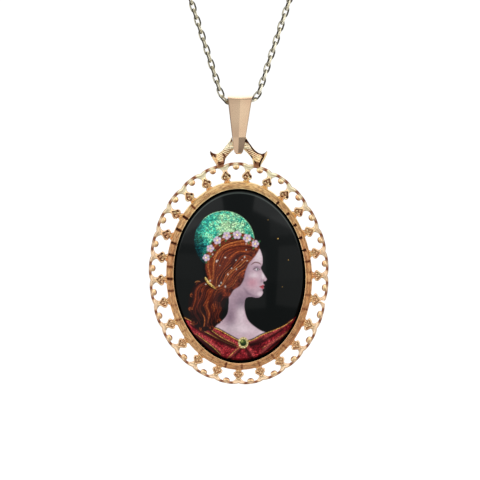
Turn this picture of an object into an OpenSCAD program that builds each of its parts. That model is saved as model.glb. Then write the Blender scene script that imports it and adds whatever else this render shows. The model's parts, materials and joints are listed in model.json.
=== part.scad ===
// Oval enamel pendant in an openwork gold frame, on a folded bail and a fine cable chain.
// The necklace keeps its worn form: +Z is up, the pendant faces -Y, and the origin is at
// the nape, where the clasp and the chain rest on the back of the neck.

/* [Plaque] */
// Width of the enamel plaque
plaque_w = 30; // [26:0.5:34]
// Height of the enamel plaque
plaque_h = 40; // [36:0.5:44]
// Thickness of the domed plaque
plaque_t = 1.3; // [1:0.1:1.4]
// Rise of the dome above its edge
dome_rise = 2.3; // [1.4:0.1:2.8]

/* [Bezel] */
// How far the lip reaches over the plaque
lip_reach = 0.5; // [0.4:0.05:0.6]
// Width of the satin band seen from the front
band_w = 1.7; // [1.5:0.05:1.9]
// Width of the saw cuts that open in the band
slit_w = 0.18; // [0.12:0.02:0.26]

/* [Openwork border] */
// Number of arches round the frame
arches = 25; // [23:2:27]
// Distance from the visible enamel to the top of an arch
border_reach = 5.45; // [5.3:0.05:5.6]
// Thickness of the pierced sheet
sheet_t = 0.6; // [0.5:0.05:0.8]
// Radius of the pellet that hangs in each arch
pellet_r = 0.58; // [0.5:0.02:0.62]

/* [Hanger] */
// Front-to-back thickness of the two horned arms
hanger_t = 0.9; // [0.8:0.05:0.95]

/* [Bail] */
// Width of the bail at its fold
bail_w = 5.5; // [5:0.1:5.8]
// Radius of the fold's inside, which the chain runs through
fold_r = 1.4; // [1.3:0.05:1.45]

/* [Chain] */
// Outer width of a link, which is the width of the chain
chain_w = 1.4; // [1.2:0.1:1.4]

/* [Clasp] */
// Diameter of the barrel clasp
clasp_d = 2.8; // [2.4:0.1:3.2]
// Length of the barrel clasp without its end loops
clasp_l = 8; // [7:0.5:8]

/* [Hidden] */
gap = 0.1;                       // between pieces that are set into each other
rose_gold = [0.83, 0.62, 0.44];
pale_gold = [0.78, 0.70, 0.50];
dark_enamel = [0.06, 0.07, 0.08];

// Where things are: the chain's lowest point, and the plaque's centre below it
chain_low = [0, -112, -165];
drop = 38.65;                    // from the chain's axis in the bail down to the plaque's centre
pivot_h = 28.6;                  // the hanger's swing axis above the plaque's centre

// Visible opening of the bezel, as half sizes
open_a = plaque_w / 2 - lip_reach;
open_b = plaque_h / 2 - lip_reach;

// Depths, measured towards the front from the hanger's middle plane
edge_front = 0.35;               // the plaque's front at its edge
edge_back = edge_front - plaque_t;
sheet_back = -0.85;
rim_back = -0.95;
rim_front = 0.05;
relief_front = 0.1;
bezel_back = -1.55;
bezel_front = 1.05;

// Curves round the frame: t is in degrees, clockwise from the top
function beyond(t, out) =
    let (n = [sin(t) / open_a, cos(t) / open_b], u = n / norm(n))
    [open_a * sin(t) + out * u[0], open_b * cos(t) + out * u[1]];
mid_reach = 3.6;                 // arches are spaced evenly along this curve
function one_degree(i) = norm(beyond(i + 1, mid_reach) - beyond(i, mid_reach));
walk = [for (i = 0, s = 0; i <= 360; s = s + one_degree(i), i = i + 1) [s, i]];
round_way = walk[360][0];
pitch = round_way / arches;
function turn_at(s) = lookup(s - floor(s / round_way) * round_way, walk);
// The strip was bent round by hand, so its arches creep along from their even places: [arch, share of a pitch]
creep = [[-7, 0], [7, -0.23], [9, 0]];
function settled(s) = s + lookup(s > 9 ? s - arches : s, creep);
// A point of arch k: u is the share of a pitch from the arch's middle, out is its distance from the opening
function in_arch(k, u, out) = beyond(turn_at(settled(k + u) * pitch), out);

// Half outline of one piercing: [share of a pitch from the middle, distance from the opening]
u_col = 0;
out_col = 1;
piercing_half = [
    [0.135, 4.72], [0.155, 4.94], [0.260, 4.86], [0.345, 4.66], [0.400, 4.38], [0.425, 4.00],
    [0.405, 3.55], [0.345, 3.18], [0.290, 2.80], [0.318, 2.50], [0.395, 2.28], [0.392, 2.08],
    [0.345, 1.86], [0.330, 1.62], [0.170, 1.62]];
// Top of an arch: [share of a pitch, how far it falls below border_reach]
scallop = [
    [-0.50, 0.50], [-0.44, 0.28], [-0.34, 0.10], [-0.18, 0.02], [0, 0], [0.18, 0.02], [0.34, 0.10], [0.44, 0.28]];
seam_stem = 7.5;                 // the strip's two ends meet at this stem
open_slits = [2.31, 3.02, 3.68, 4.33, 4.95, 18.02, 18.60, 19.17, 19.75, 20.42, 21.12];

function flip(list) = [for (i = [len(list) - 1:-1:0]) list[i]];
function arch_top(k, p, inside = 0) = in_arch(k, p[u_col], border_reach - p[1] - inside);
function rim_loop(inside) = [for (k = [0:arches - 1]) for (p = scallop) arch_top(k, p, inside)];
function piercing(k) = concat(
    [for (p = piercing_half) in_arch(k, p[u_col], p[out_col])],
    [for (p = flip(piercing_half)) in_arch(k, -p[u_col], p[out_col])]);

// A closed solid through rings of equal length, the first and last of which are capped
module skin(rings, closed = false) {
    n = len(rings[0]);
    m = len(rings);
    last = closed ? m - 1 : m - 2;
    sides = [for (i = [0:last]) for (j = [0:n - 1])
        each let (a = i * n, b = ((i + 1) % m) * n, q = (j + 1) % n)
            [[a + j, a + q, b + q], [a + j, b + q, b + j]]];
    caps = closed ? [] : [[for (j = [n - 1:-1:0]) j], [for (j = [0:n - 1]) (m - 1) * n + j]];
    polyhedron([for (r = rings) each r], concat(sides, caps));
}

// Turns a shape drawn flat, with its front up, to face -Y with its centre at the plaque's centre
module in_pendant() {
    translate(chain_low - [0, 0, drop]) rotate([90, 0, 0]) children();
}

// Bezel section: [distance from the opening, depth]
bezel_section = [
    [0, bezel_front], [0, 0.65], [lip_reach + gap, edge_front + gap], [lip_reach + gap, edge_back - gap],
    [-0.7, edge_back - gap], [-0.7, bezel_back], [band_w - 0.25, bezel_back], [band_w, -1.3],
    [band_w, 0.15], [band_w - 0.2, 0.48], [1.0, 0.82], [0.4, 1.0]];
bezel_steps = 72;

module bezel() {
    difference() {
        skin([for (i = [0:bezel_steps - 1]) [for (p = flip(bezel_section))
            let (q = beyond(i * 360 / bezel_steps, p[0])) [q[0], q[1], p[1]]]], closed = true);
        for (s = open_slits)
            let (t = turn_at(s * pitch), q = beyond(t, 0), r = beyond(t, band_w) - q)
                translate([q[0], q[1], 0.7]) rotate([0, 0, atan2(r[1], r[0])])
                    translate([-0.2, -slit_w / 2, 0]) cube([band_w, slit_w, 1]);
    }
}

// The raised leaves of one stem: [share of a pitch from the stem, distance from the opening, radius]
leaves = [[0, 3.35, 0.34], [-0.12, 2.80, 0.3], [0.12, 2.80, 0.3], [0, 2.22, 0.3]];

module border() {
    translate([0, 0, sheet_back]) linear_extrude(sheet_t) difference() {
        polygon(rim_loop(0));
        polygon([for (i = [0:bezel_steps - 1]) beyond(i * 360 / bezel_steps, band_w - 0.4)]);
        for (k = [0:arches - 1]) polygon(piercing(k));
    }
    translate([0, 0, rim_back]) linear_extrude(rim_front - rim_back) difference() {
        polygon(rim_loop(0));
        polygon(rim_loop(0.42));
    }
    for (k = [0:arches - 1]) {
        at_pellet = in_arch(k, 0, 4.42);
        translate([at_pellet[0], at_pellet[1], sheet_back])
            cylinder(r = pellet_r, h = relief_front - sheet_back, $fn = 12);
        for (p = leaves) {
            at_leaf = in_arch(k + 0.5, p[0], p[1]);
            translate([at_leaf[0], at_leaf[1], sheet_back + 0.2])
                cylinder(r = p[2], h = sheet_t + 0.05, $fn = 8);
        }
    }
}

module seam() {
    q = in_arch(seam_stem, 0, 4.05);
    r = in_arch(seam_stem, 0, 5) - q;
    translate([q[0], q[1], -2]) rotate([0, 0, atan2(r[1], r[0])])
        linear_extrude(3) polygon([[0, -0.2], [0, 0.2], [2, 0.55], [2, -0.55]]);
}

// Right arm of the hanger, from the bail's edge out to the horn and down to its foot on the rim
arm = [
    [1.33, 27.9], [1.52, 30.2], [2.1, 29.5], [2.8, 28.4], [3.5, 27.6], [4.3, 27.1], [5.1, 27.0],
    [5.8, 27.25], [6.35, 27.7], [6.2, 26.9], [5.8, 26.05], [5.3, 25.25], [4.85, 24.5], [4.6, 24.0],
    [3.6, 24.3], [3.4, 25.1], [3.0, 25.8], [2.6, 26.4], [2.15, 27.0], [1.7, 27.5]];
arm_leaf = [
    [1.9, 29.1], [3.2, 27.3], [4.4, 26.7], [5.4, 26.7], [4.6, 25.2], [4.2, 24.7], [3.8, 25.2],
    [2.9, 26.5], [1.9, 27.7]];
pin_r = 0.5;
pin_reach = 1.8;                 // half length of the bar between the arms

module hanger() {
    for (side = [0, 1]) mirror([side, 0, 0]) {
        translate([0, 0, -hanger_t / 2]) linear_extrude(hanger_t) polygon(arm);
        translate([0, 0, hanger_t / 2 - 0.05]) linear_extrude(0.25) polygon(arm_leaf);
    }
    translate([-pin_reach, pivot_h, 0]) rotate([0, 90, 0]) cylinder(r = pin_r, h = 2 * pin_reach, $fn = 32);
}

module frame() {
    color(rose_gold) in_pendant() difference() {
        union() {
            bezel();
            border();
            hanger();
        }
        seam();
    }
}

// The plaque: an oval shell, domed at the front and hollow at the back
plaque_steps = 72;
dome_rings = [1, 0.94, 0.82, 0.66, 0.46, 0.24];
function plaque_ring(share, z) =
    [for (i = [0:plaque_steps - 1]) let (t = i * 360 / plaque_steps)
        [plaque_w / 2 * share * cos(t), plaque_h / 2 * share * sin(t), z]];
function dome(share, z) = z + dome_rise * (1 - share * share);

module enamel_plaque() {
    color(dark_enamel) in_pendant()
        skin(concat(
            [for (s = flip(dome_rings)) plaque_ring(s, dome(s, edge_back))],
            [for (s = dome_rings) plaque_ring(s, dome(s, edge_front))]));
}

// Bail, from its tip to its fold: [height above the plaque's centre, front reach, back reach]
bail_sections = [
    [27.05, 0.30, 0.30], [27.2, 0.62, 0.60], [27.6, 0.95, 0.90], [28.2, 1.15, 1.10], [29.2, 1.38, 1.30],
    [30.2, 1.58, 1.50], [31.0, 1.74, 1.66], [34.8, 1.90, 1.82], [38.2, 2.00, 1.90], [38.9, 1.88, 1.80],
    [39.5, 1.52, 1.46], [39.9, 0.98, 0.94], [40.1, 0.30, 0.30]];
bail_tip_w = 1.9;
bail_foot = bail_sections[0][0];
bail_top = bail_sections[len(bail_sections) - 1][0];
fold_h = 38.15;                  // axis of the fold's inside
eye_r = 0.7;                     // inside of the tip, round the hanger's bar
slot = [[31.4, 1.2], [fold_h, fold_r - 0.03]];   // inside of the bail: [height, half depth]
ridge = 0.15;                    // how far the front's edges lie behind its ridge, as a share of its reach
function bail_half_w(h) = (bail_tip_w + (bail_w - bail_tip_w) * (h - bail_foot) / (bail_top - bail_foot)) / 2;

module bail() {
    color(rose_gold) in_pendant() difference() {
        skin([for (p = bail_sections) let (w = bail_half_w(p[0]), edge = p[1] * (1 - ridge))
            [[0, p[0], p[1]], [-w, p[0], edge], [-w, p[0], -p[2]], [w, p[0], -p[2]], [w, p[0], edge]]]);
        rotate([0, 90, 0]) {
            translate([0, fold_h, 0]) cylinder(r = fold_r, h = 2 * bail_w, center = true, $fn = 48);
            translate([0, pivot_h, 0]) cylinder(r = eye_r, h = 2 * bail_w, center = true, $fn = 48);
            linear_extrude(2 * bail_w, center = true) polygon([
                [eye_r - 0.03, pivot_h], for (p = slot) [p[1], p[0]],
                for (p = flip(slot)) [-p[1], p[0]], [-eye_r + 0.03, pivot_h]]);
        }
    }
}

// Half of the chain's way, from the middle of the bail up round the neck to the clasp
way = [
    [0, -112, -165], [2.6, -112, -165], [3.9, -112, -163.8], [5, -111.9, -160.8], [9, -111.2, -148.4],
    [14, -110, -132.8], [19, -108.1, -117.1], [24, -105.2, -101.6], [29, -100.5, -86.4], [34, -93.5, -72.1],
    [39, -84, -58.7], [43.5, -72.5, -46], [46.9, -60, -34.6], [48.6, -46.5, -24.2], [48, -33.2, -16],
    [44.2, -21.6, -10], [36.5, -11.9, -5.6], [25.8, -5.2, -2.6], [14.8, -1.5, -0.8], [5.9, 0, 0]];
whole_way = concat(flip(way), [for (i = [1:len(way) - 1]) [-way[i][0], way[i][1], way[i][2]]]);
tube_sides = 8;
tube_r = chain_w / 2;
loop_normal = [0, 0.83, -0.56];  // roughly square to the plane that the whole loop lies in

// Rounds the way off: the curve passes through every point, with one more ring halfway between two
function curve_at(list, i, t) =
    let (n = len(list) - 1, a = list[max(i - 1, 0)], b = list[i])
    let (c = list[min(i + 1, n)], d = list[min(i + 2, n)])
    0.5 * (2 * b + (c - a) * t + (2 * a - 5 * b + 4 * c - d) * t ^ 2 + (3 * b - a - 3 * c + d) * t ^ 3);
smooth_way = [for (i = [0:len(whole_way) - 2]) each [whole_way[i], curve_at(whole_way, i, 0.5)],
    whole_way[len(whole_way) - 1]];

function heading(list, i) =
    let (a = list[max(i - 1, 0)], b = list[min(i + 1, len(list) - 1)])
    (b - a) / norm(b - a);
function tube_ring(p, d) =
    let (side = cross(d, loop_normal), u = side / norm(side), v = cross(u, d), step = 360 / tube_sides)
    [for (j = [0:tube_sides - 1]) let (a = (j + 0.5) * step) p + tube_r * (cos(a) * u + sin(a) * v)];

module chain() {
    color(pale_gold) skin([for (i = [0:len(smooth_way) - 1])
        tube_ring(smooth_way[i], heading(smooth_way, i))]);
}

// Barrel clasp at the nape: its outline from the middle to one end is [half length share, radius share]
barrel = [[0, 1], [0.55, 0.94], [0.85, 0.7], [1, 0.42]];
end_loop_r = 0.62;
end_loop_wire = 0.4;

module clasp() {
    half = [for (p = barrel) [p[1] * clasp_d / 2, p[0] * clasp_l / 2]];
    color(pale_gold) rotate([0, 90, 0]) {
        rotate_extrude($fn = 48) polygon(concat(
            half, [[0, clasp_l / 2], [0, -clasp_l / 2]],
            [for (p = flip(half)) if (p[1] > 0) [p[0], -p[1]]]));
        for (end = [-1, 1]) translate([0, 0, end * (clasp_l / 2 + end_loop_r - 0.05)]) rotate([90, 0, 0])
            rotate_extrude($fn = 48) translate([end_loop_r, 0]) circle(d = end_loop_wire, $fn = 24);
    }
}

chain();
clasp();
bail();
frame();
enamel_plaque();
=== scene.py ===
# Enamel pendant on a fine cable chain: the visible pieces, their finishes, the light and the camera
import json
import math
import random
import bpy
import numpy as np
from mathutils import Matrix, Vector


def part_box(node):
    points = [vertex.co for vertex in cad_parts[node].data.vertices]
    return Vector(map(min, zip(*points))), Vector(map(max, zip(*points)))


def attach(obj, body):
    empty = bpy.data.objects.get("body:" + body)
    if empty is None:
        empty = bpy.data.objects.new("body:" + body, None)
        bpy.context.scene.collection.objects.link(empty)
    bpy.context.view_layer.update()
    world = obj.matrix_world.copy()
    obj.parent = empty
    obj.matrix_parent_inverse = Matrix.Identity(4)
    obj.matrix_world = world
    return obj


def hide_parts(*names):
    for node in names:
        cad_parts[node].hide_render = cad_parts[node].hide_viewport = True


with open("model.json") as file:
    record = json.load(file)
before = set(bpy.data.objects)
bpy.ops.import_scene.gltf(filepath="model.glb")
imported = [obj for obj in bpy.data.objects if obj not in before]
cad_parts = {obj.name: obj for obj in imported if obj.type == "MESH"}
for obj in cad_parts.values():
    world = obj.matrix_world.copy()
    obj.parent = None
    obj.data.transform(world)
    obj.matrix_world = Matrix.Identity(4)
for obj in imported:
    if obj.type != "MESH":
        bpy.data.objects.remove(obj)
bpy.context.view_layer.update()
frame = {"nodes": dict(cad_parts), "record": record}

joints = {joint["name"]: joint for joint in frame["record"]["behaviour"]["joints"]}
plaqueLow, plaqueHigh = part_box("enamel_plaque")
mm = 0.001

# The pendant is modelled in millimetres as it lies on the bench, front up, and then hung in its place
pendantCentre = Vector((0, joints["pendant_swing"]["pos_m"][1], (plaqueLow.z + plaqueHigh.z) / 2))
hung = Matrix.Translation(pendantCentre) @ Matrix.Rotation(math.radians(90), 4, "X") @ Matrix.Scale(mm, 4)


# Small helpers for modelling
def pick(piece):
    bpy.ops.object.select_all(action="DESELECT")
    piece.select_set(True)
    bpy.context.view_layer.objects.active = piece


def justAdded(name):
    piece = bpy.context.object
    piece.name = piece.data.name = name
    return piece


def linked(name, data):
    piece = bpy.data.objects.new(name, data)
    bpy.context.collection.objects.link(piece)
    return piece


def applyModifier(piece, kind, **settings):
    pick(piece)
    modifier = piece.modifiers.new(kind, kind)
    for key, value in settings.items():
        setattr(modifier, key, value)
    bpy.ops.object.modifier_apply(modifier=modifier.name)


def joined(pieces, name):
    pick(pieces[0])
    for piece in pieces:
        piece.select_set(True)
    bpy.ops.object.join()
    return justAdded(name)


def points(piece):
    flat = np.empty(len(piece.data.vertices) * 3)
    piece.data.vertices.foreach_get("co", flat)
    return flat.reshape(-1, 3)


def movePoints(piece, places):
    piece.data.vertices.foreach_set("co", np.ascontiguousarray(places, dtype=float).reshape(-1))
    piece.data.update()


def edit(piece, select="SELECT"):
    pick(piece)
    bpy.ops.object.mode_set(mode="EDIT")
    bpy.ops.mesh.select_all(action=select)


def done():
    bpy.ops.object.mode_set(mode="OBJECT")


def mended(piece, distance):
    edit(piece)
    bpy.ops.mesh.remove_doubles(threshold=distance)
    bpy.ops.mesh.normals_make_consistent(inside=False)
    done()


def plate(name, outline, low, high):
    bpy.ops.mesh.primitive_circle_add(vertices=len(outline), radius=1, fill_type="NGON")
    piece = justAdded(name)
    movePoints(piece, [(x, y, low) for x, y in outline])
    edit(piece)
    bpy.ops.mesh.extrude_region_move(TRANSFORM_OT_translate={"value": (0, 0, high - low)})
    bpy.ops.mesh.select_all(action="SELECT")
    bpy.ops.mesh.normals_make_consistent(inside=False)
    bpy.ops.mesh.quads_convert_to_tris()
    done()
    return piece


def wire(name, path, thickness, taper=None, closed=False, resolution=3):
    curve = bpy.data.curves.new(name, "CURVE")
    curve.dimensions = "3D"
    curve.bevel_depth = thickness
    curve.bevel_resolution = resolution
    curve.use_fill_caps = True
    spline = curve.splines.new("POLY")
    spline.points.add(len(path) - 1)
    spline.use_cyclic_u = closed
    for i, spot in enumerate(path):
        spline.points[i].co = (*spot, 1)
        spline.points[i].radius = taper[i] if taper else 1
    pick(linked(name, curve))
    bpy.ops.object.convert(target="MESH")
    return justAdded(name)


def bead(name, centre, size):
    bpy.ops.mesh.primitive_uv_sphere_add(segments=24, ring_count=14, radius=1)
    piece = justAdded(name)
    movePoints(piece, points(piece) * size + centre)
    return piece


def strip(name, across, rows):
    # A flat grid, with each point's place from -1 to 1 across it and the row that it is in
    bpy.ops.mesh.primitive_grid_add(x_subdivisions=across, y_subdivisions=rows, size=2)
    piece = justAdded(name)
    u, v, _ = points(piece).T
    return piece, u, np.round((v + 1) / 2 * rows).astype(int)


def cast(parts, name, voxel, smooth, keep):
    # Fuses overlapping parts into one casting with soft inner corners
    piece = joined(parts, name)
    applyModifier(piece, "REMESH", mode="VOXEL", voxel_size=voxel, adaptivity=0)
    applyModifier(piece, "SMOOTH", factor=0.5, iterations=smooth)
    applyModifier(piece, "DECIMATE", ratio=keep)
    return piece


def curved(path, between=4, closed=False):
    # A soft curve through given points
    spots = np.array(path, float)
    count = len(spots)
    made = []
    for i in range(count if closed else count - 1):
        near = (i + k for k in (-1, 0, 1, 2))
        a, b, c, d = (spots[k % count if closed else min(max(k, 0), count - 1)] for k in near)
        for t in np.arange(between) / between:
            made.append(0.5 * (2 * b + (c - a) * t + (2 * a - 5 * b + 4 * c - d) * t ** 2
                               + (3 * b - a - 3 * c + d) * t ** 3))
    return [tuple(spot) for spot in (made if closed else made + [spots[-1]])]


def flipped(path, side):
    return [(side * x, *rest) for x, *rest in path]


def smoothStep(low, high, value):
    # Rises softly from 0 to 1 between low and high, or falls where low is the larger
    share = np.clip((value - low) / (high - low), 0, 1)
    return share * share * (3 - 2 * share)


def farFrom(path, x, y):
    # Distance of every point to a broken line, with the share of the way along it
    spots = np.array(path, float)
    best, share = np.full(len(x), 1e9), np.zeros(len(x))
    for i, (a, b) in enumerate(zip(spots[:-1], spots[1:])):
        run = b - a
        t = np.clip(((x - a[0]) * run[0] + (y - a[1]) * run[1]) / max(run @ run, 1e-9), 0, 1)
        far = np.hypot(x - a[0] - t * run[0], y - a[1] - t * run[1])
        nearer = far < best
        best = np.where(nearer, far, best)
        share = np.where(nearer, (i + t) / (len(spots) - 1), share)
    return best, share


def wayAlong(spots):
    return np.concatenate([[0], np.cumsum(np.linalg.norm(np.diff(spots, axis=0), axis=1))])


def paintPoints(piece, name, values):
    layer = piece.data.attributes.new(name, "FLOAT", "POINT")
    layer.data.foreach_set("value", np.ascontiguousarray(values, dtype=np.float32))


def paintColours(piece, name, colours):
    layer = piece.data.attributes.new(name, "FLOAT_COLOR", "POINT")
    opaque = np.column_stack([colours, np.ones(len(colours))])
    layer.data.foreach_set("color", opaque.astype(np.float32).reshape(-1))


def place(piece, body, material, angle=60, hang=True):
    if hang:
        piece.data.transform(hung)
    piece.data.materials.clear()
    piece.data.materials.append(material)
    pick(piece)
    bpy.ops.object.shade_smooth_by_angle(angle=math.radians(angle))
    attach(piece, body)
    return piece


# A finish is one shader with its nodes, all of them on object coordinates in metres
class Finish:
    def __init__(self, name, roughness, metallic=1):
        self.material = bpy.data.materials.new(name)
        self.material.use_nodes = True
        self.tree = self.material.node_tree
        self.shader = self.tree.nodes["Principled BSDF"]
        self.shade({"Roughness": roughness, "Metallic": metallic})
        self.where = self.node("TexCoord").outputs["Object"]

    def feed(self, owner, sockets):
        # Each socket takes another node's output, or a value of its own
        for key, value in sockets.items():
            socket = owner.inputs[key]
            if isinstance(value, bpy.types.NodeSocket):
                self.tree.links.new(value, socket)
            else:
                socket.default_value = (*value, 1) if socket.type == "RGBA" else value
        return owner

    def shade(self, sockets):
        self.feed(self.shader, sockets)

    def node(self, kind, sockets=None, **settings):
        made = self.tree.nodes.new("ShaderNode" + kind)
        for key, value in settings.items():
            setattr(made, key, value)
        return self.feed(made, sockets or {})

    def noise(self, scale, vector=None):
        made = self.node("TexNoise", {"Vector": vector or self.where, "Scale": scale, "Detail": 2})
        return made.outputs["Fac"]

    def drawnOut(self, scale, vector=None):
        # Noise stretched into fine lines
        lengthened = self.node("Mapping", {"Vector": vector or self.where, "Scale": scale})
        return self.noise(1, lengthened.outputs["Vector"])

    def ramp(self, source, stops):
        made = self.node("ValToRGB", {"Fac": source})
        while len(made.color_ramp.elements) < len(stops):
            made.color_ramp.elements.new(0.5)
        for element, (position, colour) in zip(made.color_ramp.elements, stops):
            element.position = position
            element.color = (*colour, 1)
        return made.outputs["Color"]

    def blended(self, factor, first, second, mode="MIX"):
        made = self.node("Mix", data_type="RGBA", blend_type=mode)
        return self.feed(made, {0: factor, 6: first, 7: second}).outputs[2]

    def scaled(self, source, low, high, outLow, outHigh):
        limits = {"From Min": low, "From Max": high, "To Min": outLow, "To Max": outHigh}
        return self.node("MapRange", {"Value": source, **limits}).outputs["Result"]

    def combined(self, operation, first, second):
        return self.node("Math", {0: first, 1: second}, operation=operation).outputs["Value"]

    def attribute(self, name, output="Fac"):
        return self.node("Attribute", attribute_name=name).outputs[output]

    def axis(self, letter):
        return self.node("SeparateXYZ", {"Vector": self.where}).outputs[letter]

    def across(self, letter, low, high, most):
        # Grows to most between two places, in millimetres from the pendant's centre
        centre = pendantCentre["XYZ".index(letter)]
        return self.scaled(self.axis(letter), centre + low * mm, centre + high * mm, 0, most)

    def bumped(self, height, strength, distance):
        bump = self.node("Bump", {"Height": height, "Strength": strength, "Distance": distance})
        self.shade({"Normal": bump.outputs["Normal"]})


goldTones = {
    "bright": (0.92, 0.58, 0.29), "yellow": (0.86, 0.68, 0.34), "pale": (1, 0.95, 0.68),
    "rose": (0.7, 0.34, 0.2), "patinaAndShadeBrown": (0.3, 0.1, 0.045), "deepShade": (0.03, 0.014, 0.008),
}


def darkened(gold, tone, patinaAndShade):
    # Reddish patina with painted shade in the shallow recesses, painted shade nearly black in the deep ones
    brown = gold.blended(gold.scaled(patinaAndShade, 0, 0.5, 0, 1), tone, goldTones["patinaAndShadeBrown"])
    return gold.blended(gold.scaled(patinaAndShade, 0.5, 1, 0, 1), brown, goldTones["deepShade"])


def castGold():
    # Cast border and hanger: painted highlights on the high points, rosy patches, and brown patina with
    # painted shade in the recesses
    gold = Finish("cast gold", 0.28)
    patches = gold.ramp(gold.noise(260), [(0.38, goldTones["rose"]), (0.6, goldTones["yellow"])])
    mottles = [(0.38, (0.82, 0.38, 0.16)), (0.5, (0.97, 0.66, 0.32)), (0.62, (0.92, 0.8, 0.4))]
    tone = gold.blended(0.6, goldTones["bright"], patches)
    tone = gold.blended(0.55, tone, gold.ramp(gold.noise(1100), mottles))
    # Painted light: warmer and brighter towards the bottom, and the painted highlights where a point is
    # marked pale grow paler towards the top
    tone = gold.blended(gold.across("Z", 12, -8, 0.45), tone, (1, 0.72, 0.42))
    pale = gold.blended(gold.across("Z", 8, 22, 1), (0.88, 0.645, 0.44), goldTones["pale"])
    tone = gold.blended(gold.attribute("pale"), tone, pale)
    patinaAndShade = gold.attribute("patinaAndShade")
    gold.shade({"Base Color": darkened(gold, tone, patinaAndShade),
                "Roughness": gold.scaled(patinaAndShade, 0, 1, 0.3, 0.55)})
    gold.bumped(gold.noise(5200), 0.08, 0.00002)
    return gold.material


def satinGold():
    # Bezel: long lines along the band with a fine cross hatch, and painted light making it brighter and
    # yellower towards its top and lower left
    gold = Finish("satin gold", 0.36)
    band = gold.node("UVMap", uv_map="band").outputs["UV"]
    along, hatch = gold.drawnOut((60, 2600, 1), band), gold.drawnOut((2400, 120, 1), band)
    tone = gold.ramp(gold.noise(210), [(0.36, (0.79, 0.35, 0.15)), (0.66, (0.92, 0.5, 0.19))])
    # Painted light: brighter and yellower towards the lower left and towards the top
    lowerLeft = gold.combined("MULTIPLY", gold.across("X", -2, -12, 1), gold.across("Z", -2, -12, 1))
    tone = gold.blended(lowerLeft, tone, (1, 0.64, 0.29))
    tone = gold.blended(gold.across("Z", 2, 17, 0.85), tone, (0.97, 0.75, 0.36))
    tone = gold.blended(0.22, tone, gold.ramp(along, [(0.38, (0.5, 0.24, 0.1)), (0.6, (1, 0.82, 0.48))]))
    # Painted highlight on the ridges and on the inner lip
    tone = gold.blended(gold.scaled(gold.attribute("pale"), 0, 1, 0, 0.5), tone, (1, 0.8, 0.46))
    gold.shade({"Base Color": darkened(gold, tone, gold.attribute("patinaAndShade")),
                "Roughness": gold.scaled(along, 0.3, 0.7, 0.3, 0.46)})
    gold.bumped(gold.blended(0.5, along, hatch), 0.4, 0.00003)
    return gold.material


def polishedGold():
    # Bail: polished rose gold with faint hairlines down its length
    gold = Finish("polished rose gold", 0.16)
    hairs = gold.drawnOut((9000, 400, 400))
    tone = gold.ramp(gold.noise(180), [(0.3, (0.78, 0.53, 0.36)), (0.7, (0.84, 0.62, 0.42))])
    # Painted highlight at the bail's lower tip, painted shade along its edges and a painted dark reflection
    # near its foot
    tone = gold.blended(gold.attribute("tip"), tone, (1, 0.92, 0.82))
    tone = gold.blended(gold.attribute("edge"), tone, (0.2, 0.14, 0.1))
    gold.shade({"Base Color": tone, "Roughness": gold.scaled(hairs, 0.3, 0.7, 0.14, 0.2)})
    gold.bumped(hairs, 0.006, 0.00001)
    return gold.material


def darkenedGold():
    # Chain: pale antique gold, with painted shade inside each link and along one flank
    gold = Finish("antique chain gold", 0.3)
    patinaAndShade = gold.attribute("patinaAndShade")
    tone = gold.ramp(gold.noise(700), [(0.35, (0.72, 0.65, 0.45)), (0.65, (1, 0.95, 0.77))])
    # Painted shade, nearly black
    tone = gold.blended(patinaAndShade, tone, (0.022, 0.018, 0.01))
    gold.shade({"Base Color": tone, "Roughness": gold.scaled(patinaAndShade, 0, 1, 0.22, 0.5)})
    gold.bumped(gold.noise(4000), 0.1, 0.00001)
    return gold.material


def claspGold():
    gold = Finish("clasp gold", 0.25)
    tone = gold.ramp(gold.noise(300), [(0.3, (0.62, 0.48, 0.25)), (0.7, (0.8, 0.64, 0.36))])
    gold.shade({"Base Color": tone, "Roughness": gold.scaled(gold.noise(1500), 0.3, 0.7, 0.2, 0.34)})
    gold.bumped(gold.drawnOut((300, 6000, 6000)), 0.1, 0.00001)
    return gold.material


def firedEnamel():
    # Painted enamel under clear flux: foil under parts of it sparkles in fine grains
    enamel = Finish("fired enamel", 0.3, 0)
    paint, foil = enamel.attribute("paint", "Color"), enamel.attribute("foil")
    grains = enamel.node("TexVoronoi", {"Vector": enamel.where, "Scale": 5200})
    level = enamel.node("SeparateColor", {"Color": grains.outputs["Color"]}).outputs
    glint = enamel.ramp(level["Red"], [(0, (0.45, 0.45, 0.45)), (0.6, (1, 1, 1)), (0.97, (2.4, 2.4, 2.2))])
    sparkling = enamel.blended(foil, paint, enamel.blended(1, paint, glint, "MULTIPLY"))
    enamel.shade({"Base Color": sparkling, "Metallic": enamel.scaled(foil, 0, 1, 0, 0.65), "Coat Weight": 1,
                  "Coat Roughness": 0.07, "Coat IOR": 1.2, "Specular IOR Level": 0.05})
    enamel.bumped(enamel.combined("MULTIPLY", level["Green"], foil), 0.35, 0.00004)
    return enamel.material


castFinish = castGold()
print("cast finish ready")


# The oval that everything on the pendant follows: turn is clockwise from the top, out is beyond the enamel
lipReach = 0.5
plaqueHalf = (plaqueHigh.x - plaqueLow.x) / 2 / mm, (plaqueHigh.z - plaqueLow.z) / 2 / mm
oval = plaqueHalf[0] - lipReach, plaqueHalf[1] - lipReach
arches = 25
spacedAt = 3.6


def beyond(turn, out):
    a, b = oval
    nx, ny = np.sin(turn) / a, np.cos(turn) / b
    size = np.hypot(nx, ny)
    return a * np.sin(turn) + out * nx / size, b * np.cos(turn) + out * ny / size


walkTurns = np.linspace(0, 2 * math.pi, 1441)
walked = wayAlong(np.column_stack(beyond(walkTurns, spacedAt)))
pitch = walked[-1] / arches


def turnAt(distance):
    return np.interp(np.mod(distance, walked[-1]), walked, walkTurns)


# The strip was bent round by hand, so its arches creep along from their even places
creep = {"at": [0, 2.5, 7, 9, 11.5, 14, 17, 19.5, 21.25, 23.5, 25],
         "by": [-0.125, -0.225, -0.21, 0.09, 0.06, -0.02, 0, 0.03, 0.07, -0.03, -0.125]}

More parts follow.
